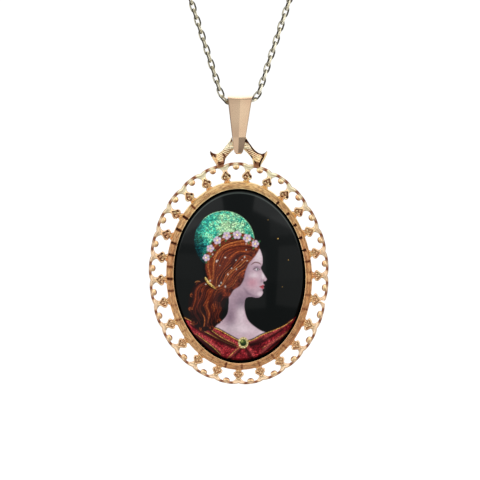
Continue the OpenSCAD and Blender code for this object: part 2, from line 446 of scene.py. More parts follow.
# How far the lip, the band's edge and the rim stand out from the even oval, at every fifteenth degree
uneven = {
    "lip": [-0.06, -0.08, -0.1, -0.05, 0.05, 0.1, 0.24, 0.36, 0.42, 0.42, 0.42, 0.4, 0.36, 0.25, 0.08,
        -0.02, 0.04, 0.05, 0.09, 0.12, 0.16, 0.08, 0.03, -0.02, -0.06],
    "edge": [-0.25, -0.3, -0.37, -0.36, -0.27, -0.13, 0.03, 0.22, 0.42, 0.49, 0.48, 0.43, 0.37, 0.31, 0.22,
        0.14, 0.08, 0.06, 0.04, 0.07, 0.05, 0, -0.07, -0.14, -0.25],
    "rim": [0.22, 0, -0.05, -0.14, -0.14, 0, 0, 0.03, 0.27, 0.33, 0.27, 0.22, 0.06, 0, 0.08, 0.11, 0.13,
        0.1, 0.18, 0.26, 0.4, 0.44, 0.41, 0.29, 0.22],
}


def standing(turn, out):
    degrees, stops = np.degrees(turn) % 360, np.arange(0, 361, 15)
    lip, edge, rim = (np.interp(degrees, stops, uneven[part]) for part in ("lip", "edge", "rim"))
    onBand = np.clip((out - 0.3) / 1.4, 0, 1)
    onBorder = np.clip((out - 1.7) / 3.6, 0, 1.1)
    return lip * (1 - onBand) + edge * onBand + (rim - edge) * onBorder


def wrapped(places, arch):
    # Takes a flat unit (x along the border, y beyond the enamel, z to the front) to its place on the oval
    station = arch + places[:, 0] / pitch
    station = station + np.interp(np.mod(station, arches), creep["at"], creep["by"])
    turn = turnAt(station * pitch)
    return np.column_stack([*beyond(turn, places[:, 1] + standing(turn, places[:, 1])), places[:, 2]])


# Bezel: its lines run from bandStart to bandEnd, and it is spun round and then drawn out to the oval
bezel = {
    "steps": 420, "bandWidth": 1.7, "front": 1.05, "back": -1.55, "lines": 5, "lineDepth": 0.09,
    "lineJitter": 0.02, "strokeLength": 3, "bendRadius": 17, "crown": 0.23, "bandStart": 0.2, "bandEnd": 1.5,
    "lineShape": (1, 0.9, 0.1, 0), "jitterSeed": 11, "strokeSeed": 12,
    "lip": [(0.6, 0.45), (0.02, 0.64), (0, 0.84), (0.03, 0.97), (0.09, 1.02), (0.15, 1.01)],
    # Each group of cross cuts: where along the border, how far across the band, how deep, how dark the
    # painted shade in them is
    "slits": [
        {"at": [2.29, 3.03, 3.72, 4.37, 4.99], "reach": 1, "depth": 0.5, "dark": 0.95},
        {"at": [20.97, 21.63], "reach": 1.6, "depth": 0.5, "dark": 0.95},
        {"at": [18.57, 19.74, 20.33], "reach": 1.6, "depth": 0.35, "dark": 0.72},
        {"at": [5.57, 13.21, 18, 19.14, 22.33], "reach": 1.6, "depth": 0.16, "dark": 0.52},
        {"at": [6.63, 7.19, 7.86, 9.95, 10.69, 11.44, 12.35, 16.55],
         "reach": 1.6, "depth": 0.1, "dark": 0.34},
        {"at": [6.1, 8.5, 9.2, 13.98, 14.65, 15.3, 15.95, 17.33], "reach": 1.6, "depth": 0.06, "dark": 0.22},
    ],
}
stepAngle = 2 * math.pi / bezel["steps"]


def bandFront(out):
    return bezel["front"] - bezel["crown"] * ((out - bezel["bandStart"]) / 0.8) ** 2


def bezelProfile():
    width, back = bezel["bandWidth"], bezel["back"]
    first, last, count = bezel["bandStart"], bezel["bandEnd"], 4 * bezel["lines"]
    lines = []
    for i in range(count + 1):
        out = first + (last - first) * i / count
        lines.append((out, bandFront(out) - bezel["lineDepth"] * bezel["lineShape"][i % 4]))
    outside = [(1.59, 0.3), (1.67, 0.12), (width, -0.08), (width, -1.3), (1.63, -1.48), (1.45, back)]
    ledge = [(-0.58, back), (-0.7, -1.45), (-0.7, -1.05), (0.6, -1.05)]
    return bezel["lip"] + lines + outside + ledge


def ringPlaces(piece):
    # While the bezel is round: its points, how far they lie beyond the opening, their turn and their step
    flat = points(piece)
    turn = np.arctan2(flat[:, 0], flat[:, 1])
    step = np.round(turn / stepAngle).astype(int) % bezel["steps"]
    return flat, np.hypot(flat[:, 0], flat[:, 1]) - bezel["bendRadius"], turn, step


def bandLine(out, lines, last):
    share = (out - bezel["bandStart"]) / (bezel["bandEnd"] - bezel["bandStart"])
    return np.clip((share * lines).astype(int), 0, last)


def slitStep(station):
    return int(turnAt(station * pitch) / stepAngle)


def cutSlits(piece, slits):
    wanted = {slitStep(station) for station in slits["at"]}
    edit(piece, "DESELECT")
    bpy.ops.mesh.select_mode(type="FACE")
    done()
    for face in piece.data.polygons:
        x, y, z = face.center
        inBand = -0.02 < math.hypot(x, y) - bezel["bendRadius"] < slits["reach"]
        step = int(math.atan2(x, y) % (2 * math.pi) / stepAngle)
        face.select = step in wanted and inBand and z > 0.15 and face.normal.z > 0.02
    bpy.ops.object.mode_set(mode="EDIT")
    bpy.ops.mesh.extrude_region_move(TRANSFORM_OT_translate={"value": (0, 0, -slits["depth"])})
    done()


def paintBezel(piece, out, turn, step, height):
    # Patina and painted shade: darker the further a point lies below the band's front, with short dark and
    # light strokes in its lines
    below = bandFront(out) - height
    onBand = (out > 0.16) & (out < 1.53) & (height > -0.6)
    valley = smoothStep(0.02, 0.07, below)
    lines, length = 2 * bezel["lines"], bezel["strokeLength"]
    draws = np.random.default_rng(bezel["strokeSeed"]).random((2, bezel["steps"], lines + 2))
    strokes = sum(np.roll(draws, k, axis=1) for k in range(length)) / length
    dark, light = np.clip((strokes - 0.3) / 0.4, 0, 1)[:, step, bandLine(out, lines, lines + 1)]
    patinaAndShade = (0.1 + 0.42 * dark) * valley + 0.14 * dark * (1 - valley)
    patinaAndShade = np.where(onBand, patinaAndShade + 0.6 * smoothStep(0.13, 0.3, below), 0)
    # Painted shade: the lip's inner wall dark, and the back a little darker
    patinaAndShade = np.where((out < 0.025) & (height < 0.9), 1, patinaAndShade)
    patinaAndShade = np.maximum(patinaAndShade, 0.12 * smoothStep(-0.1, -0.5, height))
    # Painted shade in the cross cuts
    for slits in bezel["slits"]:
        for station in slits["at"]:
            middle = (slitStep(station) + 0.5) * stepAngle
            away = np.abs((turn - middle + math.pi) % (2 * math.pi) - math.pi) / stepAngle
            cut = smoothStep(0.95, 0.45, away) * (onBand & (out < slits["reach"]))
            patinaAndShade = np.maximum(patinaAndShade, slits["dark"] * cut)
    paintPoints(piece, "patinaAndShade", np.clip(patinaAndShade, 0, 1))
    # Painted highlight: paler on the ridges where the strokes are light, and on the inner lip
    paintPoints(piece, "pale", np.where(onBand, (1 - valley) * light, 0.55 * (out < 0.2) * (height > 0.8)))


def unrollBand(piece, out, turn):
    # Band map in metres: round the bezel and across it, kept whole for the faces that close the round
    corners = np.empty(len(piece.data.loops), dtype=np.int32)
    piece.data.loops.foreach_get("vertex_index", corners)
    sizes = np.empty(len(piece.data.polygons), dtype=np.int32)
    piece.data.polygons.foreach_get("loop_total", sizes)
    owner = np.repeat(np.arange(len(sizes)), sizes)
    around = 17.5 * mm
    u = turn[corners] * around
    highest = np.full(len(sizes), -1.0)
    np.maximum.at(highest, owner, u)
    u = np.where(highest[owner] - u > around, u + 2 * math.pi * around, u)
    layer = piece.data.uv_layers.new(name="band")
    layer.data.foreach_set("uv", np.column_stack([u, out[corners] * mm]).reshape(-1))


def makeBezel():
    profile = bezelProfile()
    bpy.ops.mesh.primitive_circle_add(vertices=len(profile), radius=1)
    piece = justAdded("bezel")
    movePoints(piece, [(bezel["bendRadius"] + out, 0, depth) for out, depth in profile])
    edit(piece)
    bpy.ops.mesh.spin(steps=bezel["steps"], angle=2 * math.pi, center=(0, 0, 0), axis=(0, 0, 1))
    done()
    mended(piece, 0.001)
    flat, out, turn, step = ringPlaces(piece)
    lines = bezel["lines"]
    jitter = np.random.default_rng(bezel["jitterSeed"]).uniform(-1, 1, (bezel["steps"] + 1, lines + 1))
    onBand = (out > 0.18) & (out < 1.52) & (flat[:, 2] > 0.2)
    flat[:, 2] += bezel["lineJitter"] * jitter[step, bandLine(out, lines, lines)] * onBand
    movePoints(piece, flat)
    for slits in bezel["slits"]:
        cutSlits(piece, slits)
    flat, out, turn, step = ringPlaces(piece)
    height = flat[:, 2]
    front = (out > -0.1) & (height > 0.4)
    pushed = standing(turn, out) * np.where(front, 1, np.clip((out - 0.6) / 0.8, 0, 1))
    movePoints(piece, np.column_stack([*beyond(turn, out + pushed), height]))
    paintBezel(piece, out, turn, step, height)
    unrollBand(piece, out, turn)
    return place(piece, "pendant", satinGold(), 35)


# Openwork border
border = {
    "sheetBack": -0.85, "headFront": -0.1, "heartFloor": -0.36, "footFront": -0.28, "unitWidth": 5.32,
    "rimRadius": 0.31, "rimMiddle": -0.38, "rimHalfDepth": 0.46, "voxel": 0.05, "keep": 0.16, "seamStem": 7,
    "outerEdge": [(0, 5.12), (0.14, 5.16), (0.4, 5.27), (0.83, 5.37), (1.66, 5.44), (2.66, 5.45)],
    "web": [(2.66, 4.92), (1.84, 4.88), (1.36, 4.78), (1, 4.56), (0.71, 4.24), (0.56, 3.92), (0.62, 3.62),
        (0.92, 3.24), (1.26, 2.88), (1.14, 2.5), (0.74, 2.26), (0.7, 2.08), (0.88, 1.86), (1.04, 1.6),
        (1.1, 1.2)],
    # Dark lines of a heart: how wide, how dark, along which points
    "heartLines": [(0.12, 0.92, [(0.12, 3.78), (0.4, 3.44), (0.66, 3.2)]),
        (0.06, 0.42, [(-0.14, 3.7), (-0.56, 3.28), (-0.98, 2.98)]),
        (0.05, 0.35, [(0, 3.6), (0.02, 3.2), (0.1, 2.9)])],
    "heartRings": [(0.86, 2.98, 0.06, 0.22, 1), (-0.34, 2.66, 0.4, 0.1, 0.85)],
    "marked": {
        "at": [0, 2.5, 4, 8, 10, 13, 17, 20, 25],
        "strength": [1, 0.95, 0.35, 0.25, 0.3, 0.28, 0.45, 0.95, 1],
    },
    "pellet": (0, 4.6, -0.32), "pelletSize": (0.72, 0.62, 0.42),
    "seed": 5,
    "rib": [(0.12, 4.05, -0.16), (0.4, 3.62, -0.06), (0.82, 3.2, -0.04), (1.1, 2.86, -0.08),
        (0.98, 2.54, -0.14), (0.68, 2.38, -0.18)],
    "leg": [(0.36, 2.36, -0.24), (0.4, 2.08, -0.22), (0.56, 1.82, -0.26), (0.84, 1.56, -0.34)],
    "vein": [(0, 2.42, -0.24), (0, 2, -0.2), (0, 1.4, -0.3)],
    "seat": [(0, 5.36), (0.78, 5.3), (0.7, 4.95), (0.62, 4.72)],
    "seam": [(-0.1, 4.1), (0.1, 4.1), (0.55, 5.8), (-0.3, 5.8)],
}


def mirrored(half):
    return half + [(-x, y) for x, y in reversed(half) if x > 0]


def rimTop(x):
    return float(np.interp(abs(x), *zip(*border["outerEdge"])))


def stemUnit():
    # One stem between two half arches, flat: x along the border, y beyond the enamel, z to the front
    low, radius = border["sheetBack"], border["rimRadius"]
    web, edge = curved(border["web"]), curved(border["outerEdge"])
    head = [(0, rimTop(0) - 0.05)] + [(x, y - 0.1) for x, y in edge[1:]]
    head += [(x - 0.05, y) for x, y in web if y > 3.66]
    foot = [(0, 2.05)] + [(x - 0.06, y) for x, y in web if y < 2.05]
    parts = [plate("sheet", mirrored(edge + web), low, border["heartFloor"]),
             plate("head", mirrored(head), low, border["headFront"]),
             plate("foot", mirrored(foot), low, border["footFront"])]
    rim = wire("rim", [(x, rimTop(x) - radius, 0) for x in np.linspace(-2.66, 2.66, 41)], radius)
    spots = points(rim)
    spots[:, 2] = spots[:, 2] / radius * border["rimHalfDepth"] + border["rimMiddle"]
    movePoints(rim, spots)
    parts.append(rim)
    for side in (-1, 1):
        parts.append(wire("rib", curved(flipped(border["rib"], side), 3), 0.2))
        parts.append(bead("curl", (0.5 * side, 2.72, -0.22), (0.28, 0.28, 0.24)))
        parts.append(wire("leg", curved(flipped(border["leg"], side), 3), 0.15))
    parts.append(bead("bud", (0, 3.14, -0.14), (0.24, 0.36, 0.24)))
    parts.append(wire("vein", border["vein"], 0.13))
    return cast(parts, "stem", border["voxel"], 2, border["keep"])


def pelletUnit():
    seat = plate("seat", mirrored(border["seat"]), border["sheetBack"], border["headFront"])
    drop = bead("drop", border["pellet"], border["pelletSize"])
    return cast([seat, drop], "pellet", border["voxel"], 2, border["keep"])


def turnedAwayShade(piece):
    # Painted shade where the surface turns away at the edges of the openwork
    normals = np.empty(3 * len(piece.data.vertices), dtype=np.float32)
    piece.data.vertices.foreach_get("normal", normals)
    facing = normals.reshape(-1, 3)[:, 2]
    return 0.26 * smoothStep(0.72, 0.35, facing) * smoothStep(-0.2, 0.1, facing)


def stemTones(stem):
    # Patina and painted shade, and paleness: painted highlights on the outer edge and the hearts' high
    # points, not on the back
    x, y, z = points(stem).T
    x = np.abs(x)
    deep = smoothStep(2.25, 2.45, y) * smoothStep(3.95, 3.6, y) * smoothStep(-0.2, -0.36, z) * 0.16
    legs = smoothStep(2.3, 2.1, y) * smoothStep(-0.24, -0.32, z) * 0.35
    # Painted shade beside the pellets and on the back
    sides = smoothStep(1.15, 1.35, x) * smoothStep(1.95, 1.8, x) * smoothStep(4.7, 4.9, y)
    behind = 0.16 * smoothStep(-0.62, -0.8, z)
    beside = smoothStep(1, 1.3, x) * smoothStep(2.1, 1.85, x)
    heart = 0.32 * smoothStep(2.2, 2.6, y) * smoothStep(-0.34, -0.16, z)
    pale = np.maximum(smoothStep(3.9, 4.4, y) * (0.85 - 0.6 * beside), heart) * smoothStep(-0.8, -0.62, z)
    return np.max([deep, legs, sides * 0.6, behind, turnedAwayShade(stem)], axis=0), pale


def pelletTones(pellet):
    _, y, z = points(pellet).T
    # Painted shade at the pellet's inner end and a little at its outer end, and a painted highlight on its
    # outer part
    above = y - border["pellet"][1]
    ends = np.maximum(0.62 * smoothStep(-0.16, -0.6, above), 0.16 * smoothStep(0.45, 0.6, above))
    return np.maximum(ends, turnedAwayShade(pellet)), 0.5 * smoothStep(4.4, 5, y) * smoothStep(-0.8, -0.62, z)


def heartMarks(stem):
    # The dark lines and rings of one heart at their full strength
    x, y, z = points(stem).T
    marks = np.zeros(len(x))
    for reach, strength, path in border["heartLines"]:
        away = farFrom(path, x, y)[0]
        marks = np.maximum(marks, strength * smoothStep(reach * 1.3, reach * 0.7, away))
    for cx, cy, radius, reach, strength in border["heartRings"]:
        away = np.abs(np.hypot(x - cx, y - cy) - radius)
        marks = np.maximum(marks, strength * smoothStep(reach * 1.3, reach * 0.6, away))
    return marks * smoothStep(-0.5, -0.3, z)


def paintTones(unit, patinaAndShade, pale):
    paintPoints(unit, "patinaAndShade", patinaAndShade)
    paintPoints(unit, "pale", pale)
    return patinaAndShade


def cutSeam(copy):
    wedge = plate("wedge", border["seam"], -2, 2)
    applyModifier(copy, "BOOLEAN", operation="DIFFERENCE", object=wedge, solver="EXACT")
    bpy.data.objects.remove(wedge)


def makeBorder():
    stem, pellet = stemUnit(), pelletUnit()
    print("stem and pellet faces:", len(stem.data.polygons), len(pellet.data.polygons))
    marks, marked = heartMarks(stem), border["marked"]
    steady = paintTones(stem, *stemTones(stem))
    paintTones(pellet, *pelletTones(pellet))
    draw = random.Random(border["seed"])
    fit = np.array([pitch / border["unitWidth"], 1, 1])
    copies = []
    for k in range(arches):
        post, drop = linked("post", stem.data.copy()), linked("drop", pellet.data.copy())
        strength = np.interp(k + 0.5, marked["at"], marked["strength"]) * draw.uniform(0.8, 1.05)
        patinaAndShade = np.maximum(steady, marks * strength)
        post.data.attributes["patinaAndShade"].data.foreach_set("value", patinaAndShade.astype(np.float32))
        if k == border["seamStem"]:
            cutSeam(post)
        movePoints(post, wrapped(points(post) * fit, k + 0.5))
        movePoints(drop, wrapped(points(drop), k))
        copies += [post, drop]
    for unit in (stem, pellet):
        bpy.data.objects.remove(unit)
    return place(joined(copies, "border"), "pendant", castFinish)


# Hanger: a bar through the bail and two leafy arms that end in a horn
hanger = {
    "halfThickness": 0.45, "plateFront": 0.14, "pivot": 28.6, "barRadius": 0.5, "barReach": 1.8,
    "voxel": 0.055, "aside": -0.1, "squash": 0.55, "bodyMiddle": 0.05, "ribSpacing": 0.44, "ribSize": 0.1,
    "arm": [(1.2, 28), (1.22, 29.35), (1.34, 29.85), (1.46, 30.3), (1.6, 30.9), (1.92, 30.15), (2.35, 29.5),
        (3, 28.65), (3.65, 27.85), (4.3, 27.35), (5.1, 27.08), (5.75, 27.3), (6.32, 27.8), (6.2, 26.95),
        (5.8, 26.05), (5.3, 25.25), (4.85, 24.5), (4.6, 24), (3.4, 24.2), (3.12, 25.2), (3.02, 25.85),
        (2.7, 26.45), (2.2, 26.98), (1.75, 27.5)],
    "bevel": [(6.22, 27.55, 0.26), (6.02, 26.9, 0.3), (5.62, 26.15, 0.3), (5.12, 25.4, 0.28),
        (4.72, 24.7, 0.2), (4.5, 24.2, 0.1)],
    "spine": [(1.95, 29), (2.5, 28.05), (3.05, 27.3), (3.65, 26.7), (4.2, 26.1), (4.15, 25.3), (4, 24.7)],
    "spineSize": [0.58, 0.8, 0.84, 0.86, 0.94, 0.86, 0.55],
    # Lines of painted shade on the arms: which side, how wide, along which points
    "darkLines": [(-1, 0.26, [(6.2, 27.5), (5.85, 27.1), (5.3, 26.98)]),
        (-1, 0.24, [(6.1, 27.2), (5.9, 26.8)]), (-1, 0.15, [(3.5, 27.2), (3.1, 26.75), (2.8, 26.4)]),
        (-1, 0.17, [(3.26, 26.4), (3.2, 25.7), (3.15, 25.1)]),
        (-1, 0.13, [(4.2, 24.8), (3.7, 24.95), (3.24, 25.1)]), (-1, 0.16, [(4.45, 25.35), (4.15, 25.25)]),
        (-1, 0.16, [(1.55, 30.3), (1.7, 29.7)]), (1, 0.13, [(1.7, 30.3), (2.2, 29.55), (2.86, 28.6)]),
        (1, 0.2, [(1.5, 30.2), (1.6, 29.8)]),
        (1, 0.16, [(2.86, 28.5), (3.5, 27.75), (4.3, 27.28), (5.1, 27.1), (5.7, 27.35), (6.15, 27.8)]),
        (1, 0.17, [(5.62, 27.2), (5.35, 26.3), (4.95, 25.6), (4.65, 25), (4.6, 24.4)]),
        (1, 0.15, [(2.6, 26.8), (2.95, 26.3)]), (1, 0.15, [(3.5, 25.6), (3.72, 25.1)]),
        (-1, 0.1, [(5.5, 26.6), (5.1, 26.45)])],
}


def hangerArm(side, lengths):
    # A flat plate with a bevelled edge, and a leaf with ribs across it
    squash, middle = hanger["squash"], hanger["bodyMiddle"]
    spine, sizes = np.array(hanger["spine"]), hanger["spineSize"]
    parts = [plate("arm", flipped(hanger["arm"], side), -hanger["halfThickness"], hanger["plateFront"]),
             wire("bevel", flipped(curved(hanger["bevel"], 3), side), 0.17),
             wire("leaf", flipped([(x, y, 0) for x, y in spine], side), 1, sizes, resolution=4)]
    spots = points(parts[-1])
    spots[:, 2] = middle + spots[:, 2] * squash
    movePoints(parts[-1], spots)
    for along in np.arange(0.3, lengths[-1] - 0.5, hanger["ribSpacing"]):
        x, y = (np.interp(along, lengths, spine[:, k]) for k in (0, 1))
        ahead = np.array([np.interp(along + 0.2, lengths, spine[:, k]) for k in (0, 1)]) - (x, y)
        ahead /= np.linalg.norm(ahead)
        size = np.interp(along, lengths, sizes)
        arc = [(x - ahead[1] * size * s + ahead[0] * 0.25 * s, y + ahead[0] * size * s + ahead[1] * 0.25 * s,
                middle + squash * size * math.sqrt(1 - s * s)) for s in np.linspace(-0.92, 0.92, 9)]
        parts.append(wire("rib", flipped(arc, side), hanger["ribSize"], resolution=2))
    return parts


def makeHanger():
    reach, pivot = hanger["barReach"], hanger["pivot"]
    lengths = wayAlong(hanger["spine"])
    bar = wire("bar", [(-reach, pivot, 0), (reach, pivot, 0)], hanger["barRadius"], resolution=6)
    piece = cast([bar] + hangerArm(-1, lengths) + hangerArm(1, lengths), "hanger", hanger["voxel"], 1, 0.45)
    spots = points(piece)
    x, y, z = spots.T
    # Painted shade in the leaf's grooves and along the dark lines
    away = smoothStep(1.5, 1.75, np.abs(x)) * smoothStep(-0.35, -0.2, z)
    lines = np.zeros(len(x))
    for side, width, path in hanger["darkLines"]:
        lines = np.maximum(lines, smoothStep(width * 1.25, width * 0.75, farFrom(path, x * side, y)[0]))
    share = farFrom(hanger["spine"], np.abs(x), y)[0] / 0.85
    surface = hanger["bodyMiddle"] + hanger["squash"] * 0.84 * np.sqrt(np.clip(1 - share * share, 0, 1))
    grooves = away * smoothStep(0.05, -0.02, z - surface) * smoothStep(1, 0.8, share) * 0.44
    grooves = grooves * (1 - 0.75 * smoothStep(27.9, 28.5, y))
    lines = lines * np.where(x < 0, 0.85, 1) * smoothStep(-0.3, -0.05, z)
    paintPoints(piece, "patinaAndShade", np.maximum(grooves, lines))
    # Painted highlight: paler higher up the arms and on the left arm
    pale = 0.15 + 0.25 * smoothStep(26, 27.4, y) + 0.35 * smoothStep(27.6, 28.4, y) + 0.15 * (x < 0)
    paintPoints(piece, "pale", np.maximum(away, smoothStep(28, 28.6, y)) * pale)
    spots[:, 0] += hanger["aside"]
    movePoints(piece, spots)
    return place(piece, "pendant", castFinish)


# Bail: one folded strip, wide at the fold, with a ridge down its front
bail = {
    "taper": 0.06, "round": 0.9, "foot": 27.05, "top": 40.1, "wall": 0.5,
    "ridge": 0.26, "columns": [-1, -0.94, -0.88, -0.45, 0, 0.45, 0.88, 0.94, 1],
    # Each pair is a value at the foot and one at the top
    "width": (1.9, 5.5), "aside": (-0.14, 0.16), "ridgeAside": (-0.1, 0.12),
    "strip": [(27.05, 0), (27.07, 0.45), (27.16, 0.78), (27.4, 1), (27.75, 1.1), (28.2, 1.22), (29.2, 1.5),
        (30.2, 1.76), (30.9, 1.94), (31.1, 1.97), (34.8, 2.14), (38.2, 2.28), (39.3, 2.325), (39.36, 2.335),
        (39.5, 2.41), (39.6, 2.42), (39.7, 2.38), (39.78, 2.28), (39.85, 2.05), (39.94, 1.3), (40.03, 0.4),
        (40.08, -0.3), (40.1, -0.85), (40.05, -1.35), (39.85, -1.7), (39.4, -1.88), (38.9, -1.92),
        (38.2, -1.9), (34.8, -1.82), (31, -1.66), (30.2, -1.5), (29.2, -1.3), (28.2, -1.1), (27.75, -1),
        (27.4, -0.9), (27.16, -0.6), (27.07, -0.3), (27.05, 0)],
    # Heights between which the edges get painted shade, a painted dark reflection's place and size, and the
    # heights of the painted highlight at the tip
    "edgeShade": (28.2, 30, 39.4, 39.6), "darkReflection": (0.12, 27.95, 1.1, 0.8), "brightTip": (27.42, 27.2),
}


def upTheBail(height):
    return (height - bail["foot"]) / (bail["top"] - bail["foot"])


def leaning(name, height):
    # Grows evenly from its foot value to its top value
    foot, top = bail[name]
    return foot + (top - foot) * upTheBail(height)


def bailHalfWidth(height):
    # Straight sides that draw in a little above the foot and end in a round tip
    above = height - bail["foot"]
    tip = np.sqrt(1 - np.clip(1 - (above + 0.05) / bail["round"], 0, 1) ** 2)
    return leaning("width", height) / 2 * (1 - bail["taper"] * smoothStep(3.2, 0, above)) * tip


def makeBail():
    path, columns = np.array(bail["strip"]), np.array(bail["columns"])
    across = len(columns) - 1
    piece, u, row = strip("bailStrip", across, len(path) - 1)
    share = columns[np.round((u + 1) / 2 * across).astype(int)]
    height, depth = path[row].T
    front = depth > 0
    aside = leaning("aside", height) + front * (1 - np.abs(share)) * leaning("ridgeAside", height)
    depth = depth * np.where(front, 1 - bail["ridge"] * np.abs(share), 1)
    movePoints(piece, np.column_stack([share * bailHalfWidth(height) + aside, height, depth]))
    mended(piece, 0.002)
    applyModifier(piece, "SOLIDIFY", thickness=bail["wall"], offset=-1, use_even_offset=True)
    applyModifier(piece, "BEVEL", width=0.06, segments=2, limit_method="ANGLE", angle_limit=math.radians(50))
    x, height, depth = points(piece).T
    front = smoothStep(0.2, 0.6, depth)
    share = (x - leaning("aside", height)) / np.maximum(bailHalfWidth(height), 0.01)
    # Painted shade along the edges, stronger on the left, a painted dark reflection near the foot, and a
    # painted highlight at the tip
    edgeShade = smoothStep(0.89, 0.95, np.abs(share)) * np.where(share < 0, 0.75, 0.45) * front
    low, full, fading, high = bail["edgeShade"]
    edgeShade = edgeShade * smoothStep(low, full, height) * smoothStep(high, fading, height)
    reflectionX, reflectionY, wide, tall = bail["darkReflection"]
    darkReflection = smoothStep(0.55, 0.2, np.hypot((x - reflectionX) / wide, (height - reflectionY) / tall)) * front
    paintPoints(piece, "edge", np.maximum(edgeShade, 0.45 * darkReflection))
    paintPoints(piece, "tip", smoothStep(*bail["brightTip"], height))
    return place(piece, "bail", polishedGold(), 10)


# Chain: the same way as the source, given in millimetres, for one half from the bail to the clasp
chain = {
    "pitch": 1.65, "wire": 0.42, "width": 1.56, "start": -0.55, "segments": 16, "turned": 20,
    "pointed": 0.5, "aside": 0.2, "lifted": 0.5, "gatheredLeft": 0.16, "gatheredRight": 0.49,
    "thickEnds": 0.25,
    "way": [(0, -112, -165), (2.6, -112, -165), (3.9, -112, -163.8), (5, -111.9, -160.8),
        (9, -111.2, -148.4), (14, -110, -132.8), (19, -108.1, -117.1), (24, -105.2, -101.6),
        (29, -100.5, -86.4), (34, -93.5, -72.1), (39, -84, -58.7), (43.5, -72.5, -46), (46.9, -60, -34.6),
        (48.6, -46.5, -24.2), (48, -33.2, -16), (44.2, -21.6, -10), (36.5, -11.9, -5.6), (25.8, -5.2, -2.6),
        (14.8, -1.5, -0.8), (5.9, 0, 0)],
}


def linkMesh():
    # One oval link in the XY plane with its length along X, and painted shade on the inner side of its wire,
    # strongest at the ends where links meet
    bend = (chain["width"] - chain["wire"]) / 2
    straight = (chain["pitch"] + 0.05 + chain["wire"] * (1 + chain["thickEnds"])) / 2 - bend
    ring, thickness = [], []
    for i in range(chain["segments"]):
        a = 2 * math.pi * (i + 0.5) / chain["segments"]
        stadium = math.copysign(straight, math.cos(a)) + bend * math.cos(a)
        ellipse = (straight + bend) * math.cos(a)
        ring.append((stadium + (ellipse - stadium) * chain["pointed"], bend * math.sin(a), 0))
        thickness.append(1 + chain["thickEnds"] * smoothStep(0.6, 0.95, abs(math.cos(a))))
    piece = wire("link", ring, chain["wire"] / 2, thickness, closed=True, resolution=1)
    x, y, _ = points(piece).T
    outward = np.hypot(x - np.sign(x) * np.minimum(np.abs(x), straight), y) - bend
    ends = smoothStep(straight * 0.6, straight + bend, np.abs(x))
    return piece, smoothStep(0.02, -0.12, outward) * (0.35 + 0.4 * ends)


def linkPlaces():
    # Where each link sits, which way it runs and which way it faces, with the number of the one in the bail
    half = chain["way"]
    spots = np.array(curved(flipped(half[:0:-1], -1) + half, 40))
    lengths = wayAlong(spots)
    lowest = np.argmin(np.linalg.norm(spots - np.array(half[0]), axis=1))
    total, start = lengths[-1], lengths[lowest] + chain["start"]
    left, right = round(start / chain["pitch"]), round((total - start) / chain["pitch"])

    def gathered(i, count):
        return min(1, i / 5) * (1 - i / count)

    stations = [start - start * i / left + chain["gatheredLeft"] * gathered(i, left)
                for i in range(left, 0, -1)]
    stations += [start + (total - start) * i / right - chain["gatheredRight"] * gathered(i, right)
                 for i in range(right + 1)]
    centres = np.column_stack([np.interp(stations, lengths, spots[:, k]) for k in range(3)])
    headings = np.gradient(centres, axis=0)
    headings /= np.linalg.norm(headings, axis=1)[:, None]
    facing = np.zeros_like(centres)
    facing[left] = (0, -1, 0)
    for order in (range(left + 1, len(centres)), range(left - 1, -1, -1)):
        before = left
        for i in order:
            normal = facing[before] - headings[i] * facing[before].dot(headings[i])
            facing[i] = normal / np.linalg.norm(normal)
            before = i
    centres[:, 0] += chain["aside"] * smoothStep(-100, -135, centres[:, 2])
    x = centres[:, 0]
    centres[:, 2] += chain["lifted"] * smoothStep(1.6, 3.4, x) * smoothStep(12, 5, x)
    return centres, headings, facing, left


def makeChain():
    centres, headings, facing, middle = linkPlaces()
    link, inside = linkMesh()
    flat = points(link)
    pastMiddle = 0.35 + 0.4 * smoothStep(0.5, 0.72, np.abs(flat[:, 0]))
    copies = []
    for i, centre in enumerate(centres):
        along, front = headings[i], facing[i]
        side = np.cross(front, along)
        wide = (i - middle) % 2 != 0
        if not wide:
            side, front = front, -side
        # The links hang a little turned about the chain's own line, but not next to the clasp
        turned = math.radians(chain["turned"]) * min(1, min(i, len(centres) - 1 - i) / 20)
        side, front = (side * math.cos(turned) + front * math.sin(turned),
                       front * math.cos(turned) - side * math.sin(turned))
        copy = linked("link", link.data.copy())
        spread = flat[:, 1:2] * side + flat[:, 2:] * front
        movePoints(copy, (centre + flat[:, :1] * along + spread) * mm)
        # Painted shade on one flank of each link, on both flanks of the wide ones, and on the inner side of
        # each
        across = np.cross(along, facing[i])
        flank = spread @ (across * math.copysign(1, across[0]))
        if wide:
            flankShade = np.maximum(0.95 * smoothStep(0.15, 0.5, flank),
                                 pastMiddle * smoothStep(0.05, -0.2, flank))
        else:
            flankShade = smoothStep(0.02, -0.12, flank)
        paintPoints(copy, "patinaAndShade", np.maximum(inside * (0.25 + 0.75 * flankShade), flankShade))
        copies.append(copy)
    bpy.data.objects.remove(link)
    print("links:", len(copies))
    return place(joined(copies, "chainLinks"), "necklace", darkenedGold(), hang=False)


# Enamel plaque: the painting's places are millimetres from the plaque's centre
plaque = {
    "edgeFront": 0.35, "thickness": 1.3, "rise": 2.22, "shoulder": 0.42, "across": 250, "up": 320,
    # Shares of the way from the centre to the edge
    "shoulderSpan": (0.938, 0.972), "rimReflection": (0.918, 0.928, 0.931, 0.939), "rimShade": (0.941, 0.95),
}


def tone(red, green, blue):
    # A screen colour as the linear light that the shader takes
    shares = (c / 255 for c in (red, green, blue))
    return np.array([c / 12.92 if c < 0.0404 else ((c + 0.055) / 1.055) ** 2.4 for c in shares])


